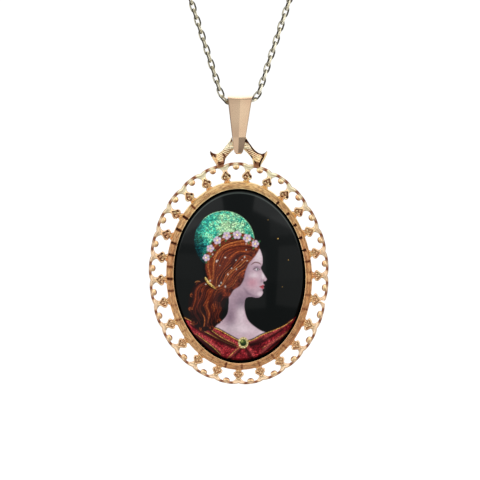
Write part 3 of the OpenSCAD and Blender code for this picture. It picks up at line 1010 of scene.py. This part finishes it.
painting = {
    "ground": tone(8, 12, 12), "flesh": tone(198, 170, 182), "fleshShade": tone(104, 80, 102),
    "fleshLight": tone(236, 222, 228), "blush": tone(196, 128, 144), "lips": tone(168, 66, 76),
    "line": tone(58, 34, 40), "gold": tone(226, 178, 92), "goldLight": tone(252, 226, 150),
    "teal": [tone(10, 34, 60), tone(18, 110, 118), tone(60, 176, 150), tone(176, 222, 170)],
    "crimson": [tone(44, 8, 14), tone(108, 20, 30), tone(166, 38, 50), tone(212, 88, 90)],
    "hair": [tone(26, 11, 11), tone(64, 23, 19), tone(110, 43, 26), tone(162, 74, 34), tone(220, 144, 80)],
    "petal": tone(226, 208, 222), "petalShade": tone(150, 120, 158), "leaf": tone(58, 112, 66),
    "profile": [(4.3, 6.5), (5, 5), (5.18, 3.7), (5.1, 2.7), (4.78, 2), (5.2, 1), (5.85, -0.1),
        (6.12, -0.62), (5.85, -0.98), (5.36, -1.08), (5.32, -1.5), (5.6, -1.92), (5.3, -2.22), (5.5, -2.56),
        (5.1, -2.95), (5.26, -3.6), (4.85, -4.4), (3.9, -4.72), (2.7, -4.5), (1.55, -4.75), (1.15, -6),
        (1.3, -8), (2.2, -10.2), (4.6, -12.2), (7.4, -13.6), (7.5, -16.5), (-8.5, -16.5), (-8.5, -12.4),
        (-4.6, -10.6), (-2.7, -8.6), (-2.3, -6), (-2.2, -3.5), (-1.5, 2), (0.5, 6.5), (2.6, 7.4)],
    "moon": (-3.3, 7.9, 6.7),
    "hairMass": [(4.45, 6.5), (3.9, 7.9), (2, 9.35), (-0.8, 9.95), (-3.8, 9.5), (-6.2, 7.7), (-7.4, 4.8),
        (-7.5, 1.6), (-6.9, -0.6), (-5.4, -2.4), (-3.6, -4.6), (-2.3, -4.6), (-1.2, -3), (0.2, -2),
        (1, -0.6), (1.35, 1), (1.9, 2.6), (2.9, 3.9), (3.8, 5)],
    "guides": [[(4.3, 6.7), (2.6, 8.7), (-0.8, 9.6), (-4.4, 8.8), (-6.8, 6), (-7.1, 2.2), (-6.6, -1),
        (-6.2, -2.6)],
        [(4.1, 6.2), (2.4, 7.6), (-0.6, 8), (-3.6, 6.8), (-5.6, 4.2), (-6.1, 1), (-6, -1.6), (-6, -2.8)],
        [(3.6, 5.2), (2, 5.9), (-0.2, 5.6), (-2.4, 4.2), (-4, 2), (-4.9, -0.2), (-5.4, -2), (-5.8, -3)],
        [(2.6, 3.9), (1.4, 4.1), (0, 3.4), (-1.4, 1.8), (-2.6, 0.2), (-3.8, -1.4), (-4.9, -2.6),
        (-5.8, -3.4)], [(1.7, 2.2), (1, 1.6), (0.4, 0.6), (-0.6, -0.8), (-1.8, -1.9), (-3.2, -2.8),
        (-4.6, -3.4), (-5.8, -3.9)]],
    "tress": [(-5.2, -0.6), (-7.4, -0.2), (-9.3, -1.2), (-10.7, -3.4), (-11.3, -6.2), (-11.1, -9),
        (-10.1, -11.3), (-8.4, -12.6), (-6.6, -12.2), (-4.9, -11), (-3.9, -8.8), (-3.2, -6.4), (-2.6, -4.2),
        (-3.2, -2.4)],
    "falls": [[(-6, -1.2), (-8.6, -1.4), (-10.1, -3.4), (-10.7, -6.2), (-10.5, -8.8), (-9.7, -11.4)],
        [(-5.6, -1.8), (-7.6, -2.3), (-8.9, -4.4), (-9.4, -6.8), (-9.1, -9.2), (-8.4, -12)],
        [(-5, -2.4), (-6.4, -3.3), (-7.3, -5.2), (-7.7, -7.4), (-7.4, -9.8), (-6.9, -12)],
        [(-4.2, -3), (-5, -4.1), (-5.6, -6), (-5.9, -8), (-5.6, -9.8), (-5.2, -11.3)],
        [(-3, -3.2), (-3.6, -4.8), (-4, -6.4), (-4.3, -8), (-4.2, -9.4), (-4.1, -10.6)]],
    "curls": [(-10.4, -4.4, 0.7), (-10.7, -7.7, 0.7), (-9.9, -10.5, 0.8), (-8.3, -12.1, 0.75),
        (-6.3, -11.7, 0.7), (-4.7, -10.2, 0.6), (-9, -1.9, 0.8)],
    "ribbon": [(-7.5, -0.3), (-6.6, -1.5), (-5, -2.6), (-3.2, -3.3)],
    "blossoms": [(3.55, 7.35, 0.82), (1.75, 8.65, 0.92), (-0.45, 9.35, 0.95), (-2.75, 9.2, 0.9),
        (-4.85, 8.1, 0.9), (-6.4, 6.3, 0.85), (-7.3, 4.2, 0.8)],
    "robe": [(-12.5, -9.2), (-10, -10.4), (-7.4, -11), (-4.6, -11.9), (-2, -13.4), (0.4, -14.6),
        (2.8, -14.4), (5, -13.2), (7.6, -12.2), (10, -11.2), (12, -9.8), (16, -9), (16, -21), (-16, -21),
        (-16, -9)],
    "folds": [[(-10.8, -11.2), (-6.5, -13.6), (-2.6, -15.6), (0.2, -16.6)],
        [(-12.4, -12.4), (-8.2, -15.4), (-4.4, -17.4)], [(-7.2, -11.8), (-4, -14.2), (-0.8, -15.8)],
        [(9.8, -12), (6.6, -13.9), (3.6, -15.4), (1.6, -16)], [(11.4, -12.8), (8.4, -15), (5.2, -16.9)],
        [(5.4, -13.9), (3.2, -15), (1.8, -15.6)], [(0.6, -16.2), (-1.2, -17.8), (-2.4, -19.2)],
        [(1.2, -16.2), (2.4, -17.9), (3, -19.2)], [(-9.6, -13.6), (-6, -16.4), (-4, -18.4)],
        [(8.6, -14.6), (6.2, -16.6), (4.4, -18.4)]],
    "brooch": (0.9, -15.1, 1.15),
    "stars": [(8.6, 8.4, 0.2), (10.9, 3.6, 0.15), (6.4, 12.6, 0.14), (9.6, -2.4, 0.16)],
    "tressStrands": 210, "hairStrands": 240, "sparks": 26, "seed": 19,
    # Soft touches on the flesh: each at x, y, how wide, how high, how strong
    "modelling": [
        ("fleshShade", [
            (0.2, 1.4, 2.3, 3.6, 0.75), (1.2, -3.9, 2.6, 1, 0.5), (0.4, -6, 1.7, 1.5, 0.85),
            (2.6, -4.9, 2.4, 0.55, 0.55), (-2, -9, 1.4, 3.6, 0.7), (4, 1.9, 0.9, 0.55, 0.62),
            (4.75, 2.1, 0.35, 0.5, 0.3), (4.9, -1.1, 0.45, 0.4, 0.38), (5, -3, 0.5, 0.22, 0.45)]),
        ("blush", [(2.9, -1.3, 1.25, 1.15, 0.62)]),
        ("fleshLight", [
            (4.3, 4.6, 0.9, 1.3, 0.75), (3.3, 0.3, 0.9, 0.5, 0.55), (5.3, 0.3, 0.3, 0.8, 0.8),
            (4.6, -3.9, 0.6, 0.5, 0.55), (0.4, -8.6, 0.9, 2.4, 0.45), (0.6, -11.8, 3.4, 1.3, 0.5),
            (-4.6, -12, 1.6, 0.8, 0.3), (5.2, -12.9, 1.4, 0.6, 0.35)]),
    ],
}


class Canvas:
    def __init__(self, x, y):
        self.x, self.y = x, y
        self.colour = np.tile(painting["ground"], (len(x), 1))
        self.foil = np.zeros(len(x))

    def near(self, outline, reach):
        spots = np.array(outline, float)
        low, high = spots.min(axis=0) - reach, spots.max(axis=0) + reach
        return np.flatnonzero((self.x > low[0]) & (self.x < high[0]) & (self.y > low[1]) & (self.y < high[1]))

    def filled(self, outline, soft, smooth=5):
        # How much of each point a closed outline covers
        path = curved(outline, smooth, closed=True) if smooth else list(outline)
        path = path + [path[0]]
        chosen = self.near(path, soft)
        x, y = self.x[chosen], self.y[chosen]
        inside = np.zeros(len(x), bool)
        for (ax, ay), (bx, by) in zip(path[:-1], path[1:]):
            if ay != by:
                inside ^= ((ay > y) != (by > y)) & (x < ax + (y - ay) / (by - ay) * (bx - ax))
        far = farFrom(path, x, y)[0]
        cover = np.zeros(len(self.x))
        cover[chosen] = smoothStep(-soft, soft, np.where(inside, far, -far))
        return cover

    def lay(self, cover, colour, foil=None, chosen=slice(None)):
        mixed = cover[:, None]
        self.colour[chosen] = self.colour[chosen] * (1 - mixed) + np.asarray(colour) * mixed
        if foil is not None:
            self.foil[chosen] = self.foil[chosen] * (1 - cover) + foil * cover

    def patch(self, outline, colour, soft=0.06, smooth=4, within=1):
        self.lay(self.filled(outline, soft, smooth) * within, colour)

    def stroke(self, path, width, colour, soft=0.07, strength=1, within=None, foil=None):
        # A brush stroke that swells in its middle
        line = curved(path)
        chosen = self.near(line, width + soft)
        if not len(chosen):
            return
        far, share = farFrom(line, self.x[chosen], self.y[chosen])
        half = width * (0.35 + 0.65 * np.sin(np.pi * np.clip(share, 0.02, 0.98)) ** 0.6)
        cover = strength * smoothStep(half + soft, half - soft, far)
        self.lay(cover if within is None else cover * within[chosen], colour, foil, chosen)

    def hair(self, path, width, lightness, strength, within=None, shine=0.6):
        # One strand, dark at 0 and light at 1, and light strands have foil under them
        colour = graded(painting["hair"], np.array([lightness]))[0]
        self.stroke(path, width, colour, 0.07, strength, within, shine if lightness > 0.5 else 0.15)

    def wash(self, centre, size, colour, strength, within=1):
        # A soft round touch of colour
        far = np.hypot((self.x - centre[0]) / size[0], (self.y - centre[1]) / size[1])
        self.lay(strength * np.exp(-far * far) * within, colour)

    def cloudy(self, scale, seed):
        # Smooth value noise on a lattice, between 0 and 1
        lattice = np.random.default_rng(seed).random((96, 96))
        u, v = self.x / scale + 48, self.y / scale + 48
        i, j = np.floor(u).astype(int), np.floor(v).astype(int)
        s, t = smoothStep(0, 1, u - i), smoothStep(0, 1, v - j)

        def row(b):
            return lattice[i % 96, (j + b) % 96] * (1 - s) + lattice[(i + 1) % 96, (j + b) % 96] * s
        return row(0) * (1 - t) + row(1) * t


def graded(colours, share):
    # A colour between neighbours in a short list, share runs from 0 to 1
    stops = np.linspace(0, 1, len(colours))
    return np.column_stack([np.interp(share, stops, [c[k] for c in colours]) for k in range(3)])


def between(guides, at):
    # A line between two neighbours in a row of guides
    guides = np.array(guides)
    k, t = int(at), at % 1
    return guides[k] * (1 - t) + guides[k + 1] * t


def paintMoon(canvas):
    mx, my, radius = painting["moon"]
    x, y = canvas.x - mx, canvas.y - my
    far = np.hypot(x, y) / radius
    lit = 0.92 - 0.5 * np.hypot((x - 1.2) / radius, (y - 2.4) / radius)
    grain = 0.3 * (canvas.cloudy(0.26, 3) - 0.5) + 0.34 * (canvas.cloudy(0.9, 4) - 0.5)
    away = np.hypot(x - 1.6, y - 2.2) / radius
    blotch = canvas.cloudy(1.3, 5) * 0.5 + canvas.cloudy(0.45, 6) * 0.5
    dusk = (1 - 0.8 * smoothStep(0.72, 1.3, away + 0.7 * (blotch - 0.5)))[:, None]
    shades = graded(painting["teal"], np.clip(lit * 1.2 + grain, 0, 1)) * dusk
    canvas.lay(smoothStep(1, 0.985, far), shades, foil=1)
    ring = np.clip(1 - np.abs(far - 0.99) / 0.014, 0, 1) * smoothStep(-0.2, 0.6, y + x)
    canvas.lay(ring * 0.8, painting["teal"][3], foil=0.4)


def paintFlesh(canvas):
    flesh = canvas.filled(painting["profile"], 0.07, 6)
    canvas.lay(flesh, painting["flesh"], foil=0)
    for name, touches in painting["modelling"]:
        for *centre, across, up, strength in touches:
            canvas.wash(centre, (across, up), painting[name], strength, flesh)
    mottled = 0.16 * (canvas.cloudy(0.32, 7) - 0.5) + 0.1 * (canvas.cloudy(1.1, 8) - 0.5)
    canvas.colour *= (1 + mottled * flesh)[:, None]
    paintFace(canvas, flesh)


def paintFace(canvas, flesh):
    line, shade, lips = painting["line"], painting["fleshShade"], painting["lips"]
    canvas.stroke([(2.7, 2.75), (3.5, 3.25), (4.3, 3.1), (4.85, 2.75)], 0.13, tone(96, 52, 40), strength=0.9)
    canvas.stroke([(3.05, 1.62), (3.55, 1.98), (4.15, 1.9), (4.5, 1.58)], 0.09, line, 0.06, 0.95)
    canvas.stroke([(3.2, 2.12), (3.7, 2.36), (4.3, 2.24)], 0.05, shade, strength=0.8)
    canvas.stroke([(3.35, 1.5), (3.85, 1.32), (4.35, 1.46)], 0.06, shade, 0.06, 0.9)
    canvas.patch([(3.6, 1.6), (3.8, 1.9), (4.2, 1.85), (4.32, 1.58), (3.95, 1.4)], tone(214, 206, 214))
    canvas.patch([(3.92, 1.62), (4.02, 1.86), (4.24, 1.8), (4.28, 1.56), (4.1, 1.46)], tone(52, 44, 40), 0.05)
    canvas.patch([(4.12, 1.74), (4.2, 1.8), (4.22, 1.7)], tone(240, 240, 240), 0.05, 0)
    canvas.stroke([(4.45, 1.6), (4.72, 1.5)], 0.05, line, 0.05, 0.7)
    canvas.stroke([(5.2, -0.55), (5.35, -0.8), (5.62, -0.78)], 0.07, tone(110, 66, 76), 0.06, 0.9)
    canvas.stroke([(4.95, -0.35), (4.9, -0.8), (5.15, -1)], 0.06, shade, 0.08, 0.6)
    upperLip = [(4.45, -2.22), (4.95, -1.98), (5.3, -1.86), (5.58, -1.95), (5.36, -2.2), (4.9, -2.24)]
    lowerLip = [(4.55, -2.28), (5.3, -2.26), (5.5, -2.5), (5.2, -2.74), (4.85, -2.56)]
    canvas.patch(upperLip, lips, within=flesh)
    canvas.patch(lowerLip, lips * 1.25, within=flesh)
    canvas.stroke([(4.35, -2.26), (4.9, -2.22), (5.35, -2.22)], 0.045, line, 0.04, 0.85)
    canvas.stroke([(4.4, -4.5), (3.2, -4.35), (2, -3.7), (1.1, -2.6)], 0.22, shade, 0.3, 0.5, flesh)
    canvas.stroke([(5.2, 4.9), (5.22, 3.2)], 0.05, painting["fleshLight"], 0.06, 0.8, flesh)


def paintRobe(canvas):
    dark, light, gold = painting["crimson"][0], painting["crimson"][3], painting["gold"]
    robe = canvas.filled(painting["robe"], 0.1)
    grain = 0.55 * canvas.cloudy(0.24, 21) + 0.45 * canvas.cloudy(1.6, 22)
    canvas.lay(robe, graded(painting["crimson"], np.clip(grain * 1.15 - 0.06, 0, 1)), foil=0.9)
    for k, fold in enumerate(painting["folds"]):
        canvas.stroke(fold, 0.55, dark * 0.5, 0.28, 0.85, robe, 0.2)
        canvas.stroke([(x + 0.35, y + 0.75) for x, y in fold], 0.36, light, 0.25, 0.45, robe, 1)
        if k % 2 == 0:
            canvas.stroke([(x - 0.1, y + 0.42) for x, y in fold], 0.055, gold, 0.05, 0.9, robe, 0.9)
    hem = painting["robe"][:11]
    canvas.stroke(hem, 0.2, dark * 0.4, 0.12, 0.9, foil=0.1)
    canvas.stroke([(x, y - 0.16) for x, y in hem], 0.09, gold, 0.05, foil=0.9)
    bx, by, size = painting["brooch"]
    far = np.hypot(canvas.x - bx, (canvas.y - by) / 1.15) / size
    canvas.lay(smoothStep(1.04, 0.96, far), painting["goldLight"] * 0.85, foil=1)
    canvas.lay(smoothStep(0.68, 0.6, far), tone(40, 62, 34), foil=0.9)
    canvas.wash((bx - 0.3, by + 0.35), (0.35, 0.3), tone(210, 224, 120), 0.95)
    for a in np.arange(10) * math.pi / 5:
        pearl = bx + 0.83 * size * math.cos(a), by + 0.95 * size * math.sin(a)
        canvas.wash(pearl, (0.14, 0.14), tone(255, 240, 190), 0.9)


def paintCurl(canvas, draw, cx, cy, radius):
    far = np.hypot(canvas.x - cx, canvas.y - cy) / radius
    canvas.lay(smoothStep(1.12, 0.75, far) * 0.92, painting["hair"][0], foil=0.15)
    for _ in range(int(9 + 9 * radius)):
        reach = radius * draw.uniform(0.15, 0.98)
        start, sweep = draw.uniform(0, 2 * math.pi), draw.uniform(0.9, 2.3)
        squeeze, drift = draw.uniform(0.8, 1.05), draw.uniform(-0.18, 0.18)
        arc = [(cx + reach * (1 - drift * a) * math.cos(start + a),
                cy + reach * squeeze * (1 - drift * a) * math.sin(start + a))
               for a in np.linspace(0, sweep, 6)]
        lit = 0.5 + 0.5 * math.cos(start + sweep / 2 - 2)
        lightness = draw.random() ** 1.4 * (0.45 + 0.6 * lit)
        canvas.hair(arc, draw.uniform(0.05, 0.15) * (0.6 + 0.4 * radius), lightness, 0.85, shine=0.5)


def paintTress(canvas, draw):
    # Long wavy hair behind the neck, gathered by a ribbon
    dark, ribbon = painting["hair"][0], painting["ribbon"]
    canvas.lay(canvas.filled(painting["tress"], 0.16), dark, foil=0.2)
    for curl in painting["curls"]:
        paintCurl(canvas, draw, *curl)
    for _ in range(painting["tressStrands"]):
        at = draw.uniform(0, len(painting["falls"]) - 1.001)
        k, t = int(at), at % 1
        strand = np.array(curved(between(painting["falls"], at), 3))
        along = np.linspace(0, 1, len(strand))
        swing = (0.12 + 0.34 * along) * np.sin(along * 15 + k * 1.9 + 0.5 * t)
        strand = strand + np.column_stack([swing, 0.25 * swing])
        size = draw.randrange(4, 9)
        first = draw.randrange(0, len(strand) - size)
        lit = 0.5 + 0.5 * math.sin((first + size / 2) / len(strand) * 15 + k * 1.9 + 1.2)
        lightness = (0.2 + 0.62 * lit) * draw.random() ** 0.9
        canvas.hair(strand[first:first + size], draw.uniform(0.06, 0.17), lightness, 0.85)
    canvas.stroke(ribbon, 0.52, dark * 0.5, 0.1, 0.95, foil=0.2)
    canvas.stroke(ribbon, 0.34, painting["gold"] * 0.62, foil=1)
    canvas.stroke([(x - 0.02, y + 0.12) for x, y in ribbon], 0.1, painting["goldLight"], 0.06, 0.9, foil=1)


def paintHair(canvas, draw):
    mass = canvas.filled(painting["hairMass"], 0.14)
    mottled = 0.6 * canvas.cloudy(0.8, 31) + 0.4 * canvas.cloudy(0.3, 32)
    canvas.lay(mass, graded(painting["hair"], np.clip(mottled * 0.75 - 0.05, 0, 1)), foil=0.35)
    for _ in range(painting["hairStrands"]):
        at = draw.uniform(0, len(painting["guides"]) - 1.001)
        strand = between(painting["guides"], at)
        count = len(strand)
        first, last = sorted(draw.sample(range(count), 2))
        if last - first < 2:
            continue
        lean = draw.uniform(-0.35, 0.35)
        swing = 0.22 * np.sin(np.arange(count) * 2.1 + at * 3.1) + lean * np.linspace(-1, 1, count)
        strand = (strand + np.column_stack([swing, -swing]))[first:last + 1]
        lightness = 0.72 * draw.random() ** 1.3 + 0.28 * (0.5 + 0.5 * math.sin(at * 6.5 + 0.4))
        canvas.hair(strand, draw.uniform(0.04, 0.15), lightness, 0.8, mass)


def paintWreath(canvas):
    for k, (bx, by, size) in enumerate(painting["blossoms"]):
        for turn in (0.5, 2.4, 4.3):
            a = turn + k * 0.7
            dx, dy = 1.5 * size * math.cos(a), 1.5 * size * math.sin(a)
            leaf = [(bx, by), (bx + dx / 2 + 0.1, by + dy / 2), (bx + dx, by + dy)]
            canvas.stroke(leaf, 0.24 * size, painting["leaf"], 0.08, 0.9, foil=0.5)
    for k, (bx, by, size) in enumerate(painting["blossoms"]):
        far = np.hypot(canvas.x - bx, canvas.y - by) / size
        petals = np.abs(np.cos(2.5 * (np.arctan2(canvas.y - by, canvas.x - bx) + k * 0.5)))
        edge = 0.8 + 0.2 * petals
        shade = np.clip(0.25 + 0.65 * (1 - petals) + 0.25 * (0.5 - far), 0, 1)[:, None]
        colour = painting["petal"] * (1 - shade) + painting["petalShade"] * shade
        canvas.lay(smoothStep(edge + 0.08, edge - 0.08, far), colour, foil=0)
        canvas.lay(smoothStep(0.3, 0.2, far), painting["goldLight"], foil=0.8)


def paintStars(canvas, draw):
    for sx, sy, size in painting["stars"]:
        dx, dy = np.abs(canvas.x - sx) / size, np.abs(canvas.y - sy) / size
        cover = np.clip(1.25 - (np.sqrt(dx) + np.sqrt(dy)) ** 1.2, 0, 1) + np.exp(-(dx * dx + dy * dy) * 7)
        canvas.lay(np.clip(cover, 0, 1), painting["gold"], foil=0.9)
    for i in range(painting["sparks"]):
        guide = painting["guides"][draw.randrange(4)]
        gx, gy = guide[draw.randrange(1, 5 if i % 2 else 7)]
        size = draw.uniform(0.06, 0.17)
        spark = gx + draw.uniform(-0.9, 0.9), gy + draw.uniform(-0.9, 0.9)
        canvas.wash(spark, (size, size * draw.uniform(0.7, 1.9)), tone(255, 250, 240), draw.uniform(0.5, 1))


def ovalGrid(name, across, up, front):
    # A square grid bent into an oval dome without a pole
    bpy.ops.mesh.primitive_grid_add(x_subdivisions=across, y_subdivisions=up, size=2)
    piece = justAdded(name)
    u, v, _ = points(piece).T
    x, y = u * np.sqrt(1 - v * v / 2), v * np.sqrt(1 - u * u / 2)
    share = np.minimum(np.hypot(x, y), 1)
    shoulder = plaque["shoulder"] * smoothStep(*plaque["shoulderSpan"], share)
    depth = front + plaque["rise"] * (1 - share ** 2) - shoulder
    movePoints(piece, np.column_stack([x * plaqueHalf[0], y * plaqueHalf[1], depth]))
    return piece


def paintedPlaque(piece):
    canvas = Canvas(*points(piece).T[:2])
    draw = random.Random(painting["seed"])
    paintMoon(canvas)
    paintFlesh(canvas)
    paintRobe(canvas)
    paintTress(canvas, draw)
    paintHair(canvas, draw)
    paintWreath(canvas)
    paintStars(canvas, draw)
    # Painted reflection: a pale line inside the rim near the top; painted shade: a dark ring at the very
    # edge. Both follow the bezel's lip
    turn = np.arctan2(canvas.x / oval[0], canvas.y / oval[1])
    edge = np.hypot(canvas.x / plaqueHalf[0], canvas.y / plaqueHalf[1]) - standing(turn, 0) / oval[1]
    inner, full, fading, outer = plaque["rimReflection"]
    line = smoothStep(inner, full, edge) * smoothStep(outer, fading, edge) * smoothStep(3, 15, canvas.y)
    canvas.lay(line * 0.8, tone(78, 86, 82), foil=0)
    canvas.lay(smoothStep(*plaque["rimShade"], edge), painting["ground"] * 0.4, foil=0)
    return canvas


def makePlaque():
    picture = ovalGrid("enamelPicture", plaque["across"], plaque["up"], plaque["edgeFront"])
    canvas = paintedPlaque(picture)
    paintColours(picture, "paint", np.clip(canvas.colour, 0, 1))
    paintPoints(picture, "foil", canvas.foil)
    back = ovalGrid("counterEnamel", 60, 80, plaque["edgeFront"] - plaque["thickness"])
    edit(back)
    bpy.ops.mesh.flip_normals()
    done()
    count = len(back.data.vertices)
    paintColours(back, "paint", np.tile(painting["ground"], (count, 1)))
    paintPoints(back, "foil", np.zeros(count))
    material = firedEnamel()
    return [place(piece, "pendant", material) for piece in (picture, back)]


bezelPiece = makeBezel()
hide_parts("frame")
print("bezel ready")
borderPiece = makeBorder()
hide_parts("frame")
print("border ready")
hangerPiece = makeHanger()
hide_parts("frame")
print("hanger ready")
bailPiece = makeBail()
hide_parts("bail")
print("bail ready")
chainPiece = makeChain()
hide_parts("chain")
print("chain ready")
for enamelPiece in makePlaque():
    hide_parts("enamel_plaque")
print("plaque ready")
claspNode = frame["nodes"]["clasp"]
claspNode.data.materials.clear()
claspNode.data.materials.append(claspGold())


# Camera at the photo's angle, about nine degrees above
view = {
    "above": 9, "distance": 0.55, "pixel": 0.222 * mm, "frame": 480,
    "aimRight": 0.18 * mm, "aimUp": 7.87 * mm,
}


def makeCamera():
    camera = bpy.data.cameras.new("camera")
    camera.sensor_width = 36
    camera.lens = 36 * view["distance"] / (view["pixel"] * view["frame"])
    camera.clip_start = 0.01
    tilt = math.radians(view["above"])
    piece = linked("camera", camera)
    target = pendantCentre + Vector((view["aimRight"], 0, view["aimUp"]))
    piece.location = target + Vector((0, -math.cos(tilt), math.sin(tilt))) * view["distance"]
    piece.rotation_euler = (math.radians(90) - tilt, 0, 0)
    bpy.context.scene.camera = piece


# Stage: a pale floor that curves up into a backdrop
stage = {"width": 4, "front": -1.6, "back": 1.6, "below": 0.32, "height": 2.4, "bend": 0.6}


def makeStage():
    floor, back, bend = pendantCentre.z - stage["below"], stage["back"], stage["bend"]
    path = [(stage["front"], floor), (back - bend, floor)]
    path += [(back - bend + bend * math.sin(a), floor + bend - bend * math.cos(a))
             for a in np.linspace(0.1, math.pi / 2, 12)]
    path = np.array(path + [(back, floor + stage["height"])])
    piece, u, row = strip("floor", 1, len(path) - 1)
    movePoints(piece, np.column_stack([u * stage["width"] / 2, path[row]]))
    paper = Finish("pale paper", 0.9, 0)
    # Painted light: the floor and backdrop glow, brighter towards the back and higher up
    glow = paper.combined("ADD", paper.scaled(paper.axis("Y"), -0.45, 0.3, 0.02, 0.87),
                          paper.scaled(paper.axis("Z"), pendantCentre.z, pendantCentre.z + 0.3, 0, 0.55))
    paper.shade({"Base Color": (0.25, 0.25, 0.25), "Emission Color": (1, 1, 1), "Emission Strength": glow})
    piece.data.materials.append(paper.material)
    pick(piece)
    bpy.ops.object.shade_smooth()


# Each box: azimuth and height in degrees, distance, width and height in metres, brightness, colour, roll
lighting = {
    "room": 0.42,
    "boxes": {
        "upperLeft": (-25, 13, 0.8, 0.42, 0.22, 1.7, (1, 1, 1), 24),
        "upperRight": (24, 14, 0.8, 0.42, 0.22, 1.8, (1, 1, 1), -20),
        "middleLeft": (-28, 4, 0.8, 0.4, 0.11, 0.8, (1, 1, 1), 0),
        "middleRight": (29, 6, 0.8, 0.36, 0.09, 0.6, (1, 1, 1), 0),
        "lowerLeft": (-36, -22, 0.46, 0.28, 0.32, 0.46, (1, 0.99, 0.97), 0),
        "lowerRight": (38, -10, 0.46, 0.28, 0.16, 0.7, (1, 0.99, 0.96), 0),
        "frontal": (0, -11, 0.6, 0.3, 0.2, 0.7, (1, 1, 0.98), 0),
        "overhead": (0, 66, 0.9, 1.5, 1.15, 1.3, (1, 0.99, 0.97), 0),
        "sideLeft": (-66, 4, 0.8, 0.5, 0.9, 1.25, (1, 1, 1), 0),
        "sideRight": (60, 2, 0.8, 0.56, 0.9, 0.95, (1, 0.98, 0.95), 0),
    },
}


def softBox(name, azimuth, elevation, distance, width, height, brightness, colour, roll):
    light = bpy.data.lights.new(name, "AREA")
    light.shape = "RECTANGLE"
    light.size, light.size_y = width, height
    light.energy = brightness * math.pi * width * height
    light.color = colour
    piece = linked(name, light)
    az, el = math.radians(azimuth), math.radians(elevation)
    direction = Vector((math.sin(az) * math.cos(el), -math.cos(az) * math.cos(el), math.sin(el)))
    piece.location = pendantCentre + direction * distance
    aimed = direction.to_track_quat("Z", "Y").to_matrix() @ Matrix.Rotation(math.radians(roll), 3, "Z")
    piece.rotation_euler = aimed.to_euler()
    piece.visible_camera = False


def makeLight():
    # The room lights the gold dimly, while the camera sees it white
    world = bpy.data.worlds.new("softRoom")
    bpy.context.scene.world = world
    world.use_nodes = True
    nodes, links = world.node_tree.nodes, world.node_tree.links
    dim, pale = nodes["Background"], nodes.new("ShaderNodeBackground")
    dim.inputs["Color"].default_value = (0.78, 0.8, 0.82, 1)
    dim.inputs["Strength"].default_value = lighting["room"]
    pale.inputs["Color"].default_value = (1, 1, 1, 1)
    chooser, path = nodes.new("ShaderNodeMixShader"), nodes.new("ShaderNodeLightPath")
    links.new(path.outputs["Is Camera Ray"], chooser.inputs["Fac"])
    links.new(dim.outputs[0], chooser.inputs[1])
    links.new(pale.outputs[0], chooser.inputs[2])
    links.new(chooser.outputs[0], nodes["World Output"].inputs["Surface"])
    for name, settings in lighting["boxes"].items():
        softBox(name, *settings)


makeCamera()
makeStage()
makeLight()
bpy.context.scene.view_settings.view_transform = "Standard"
print("camera, stage and light ready")
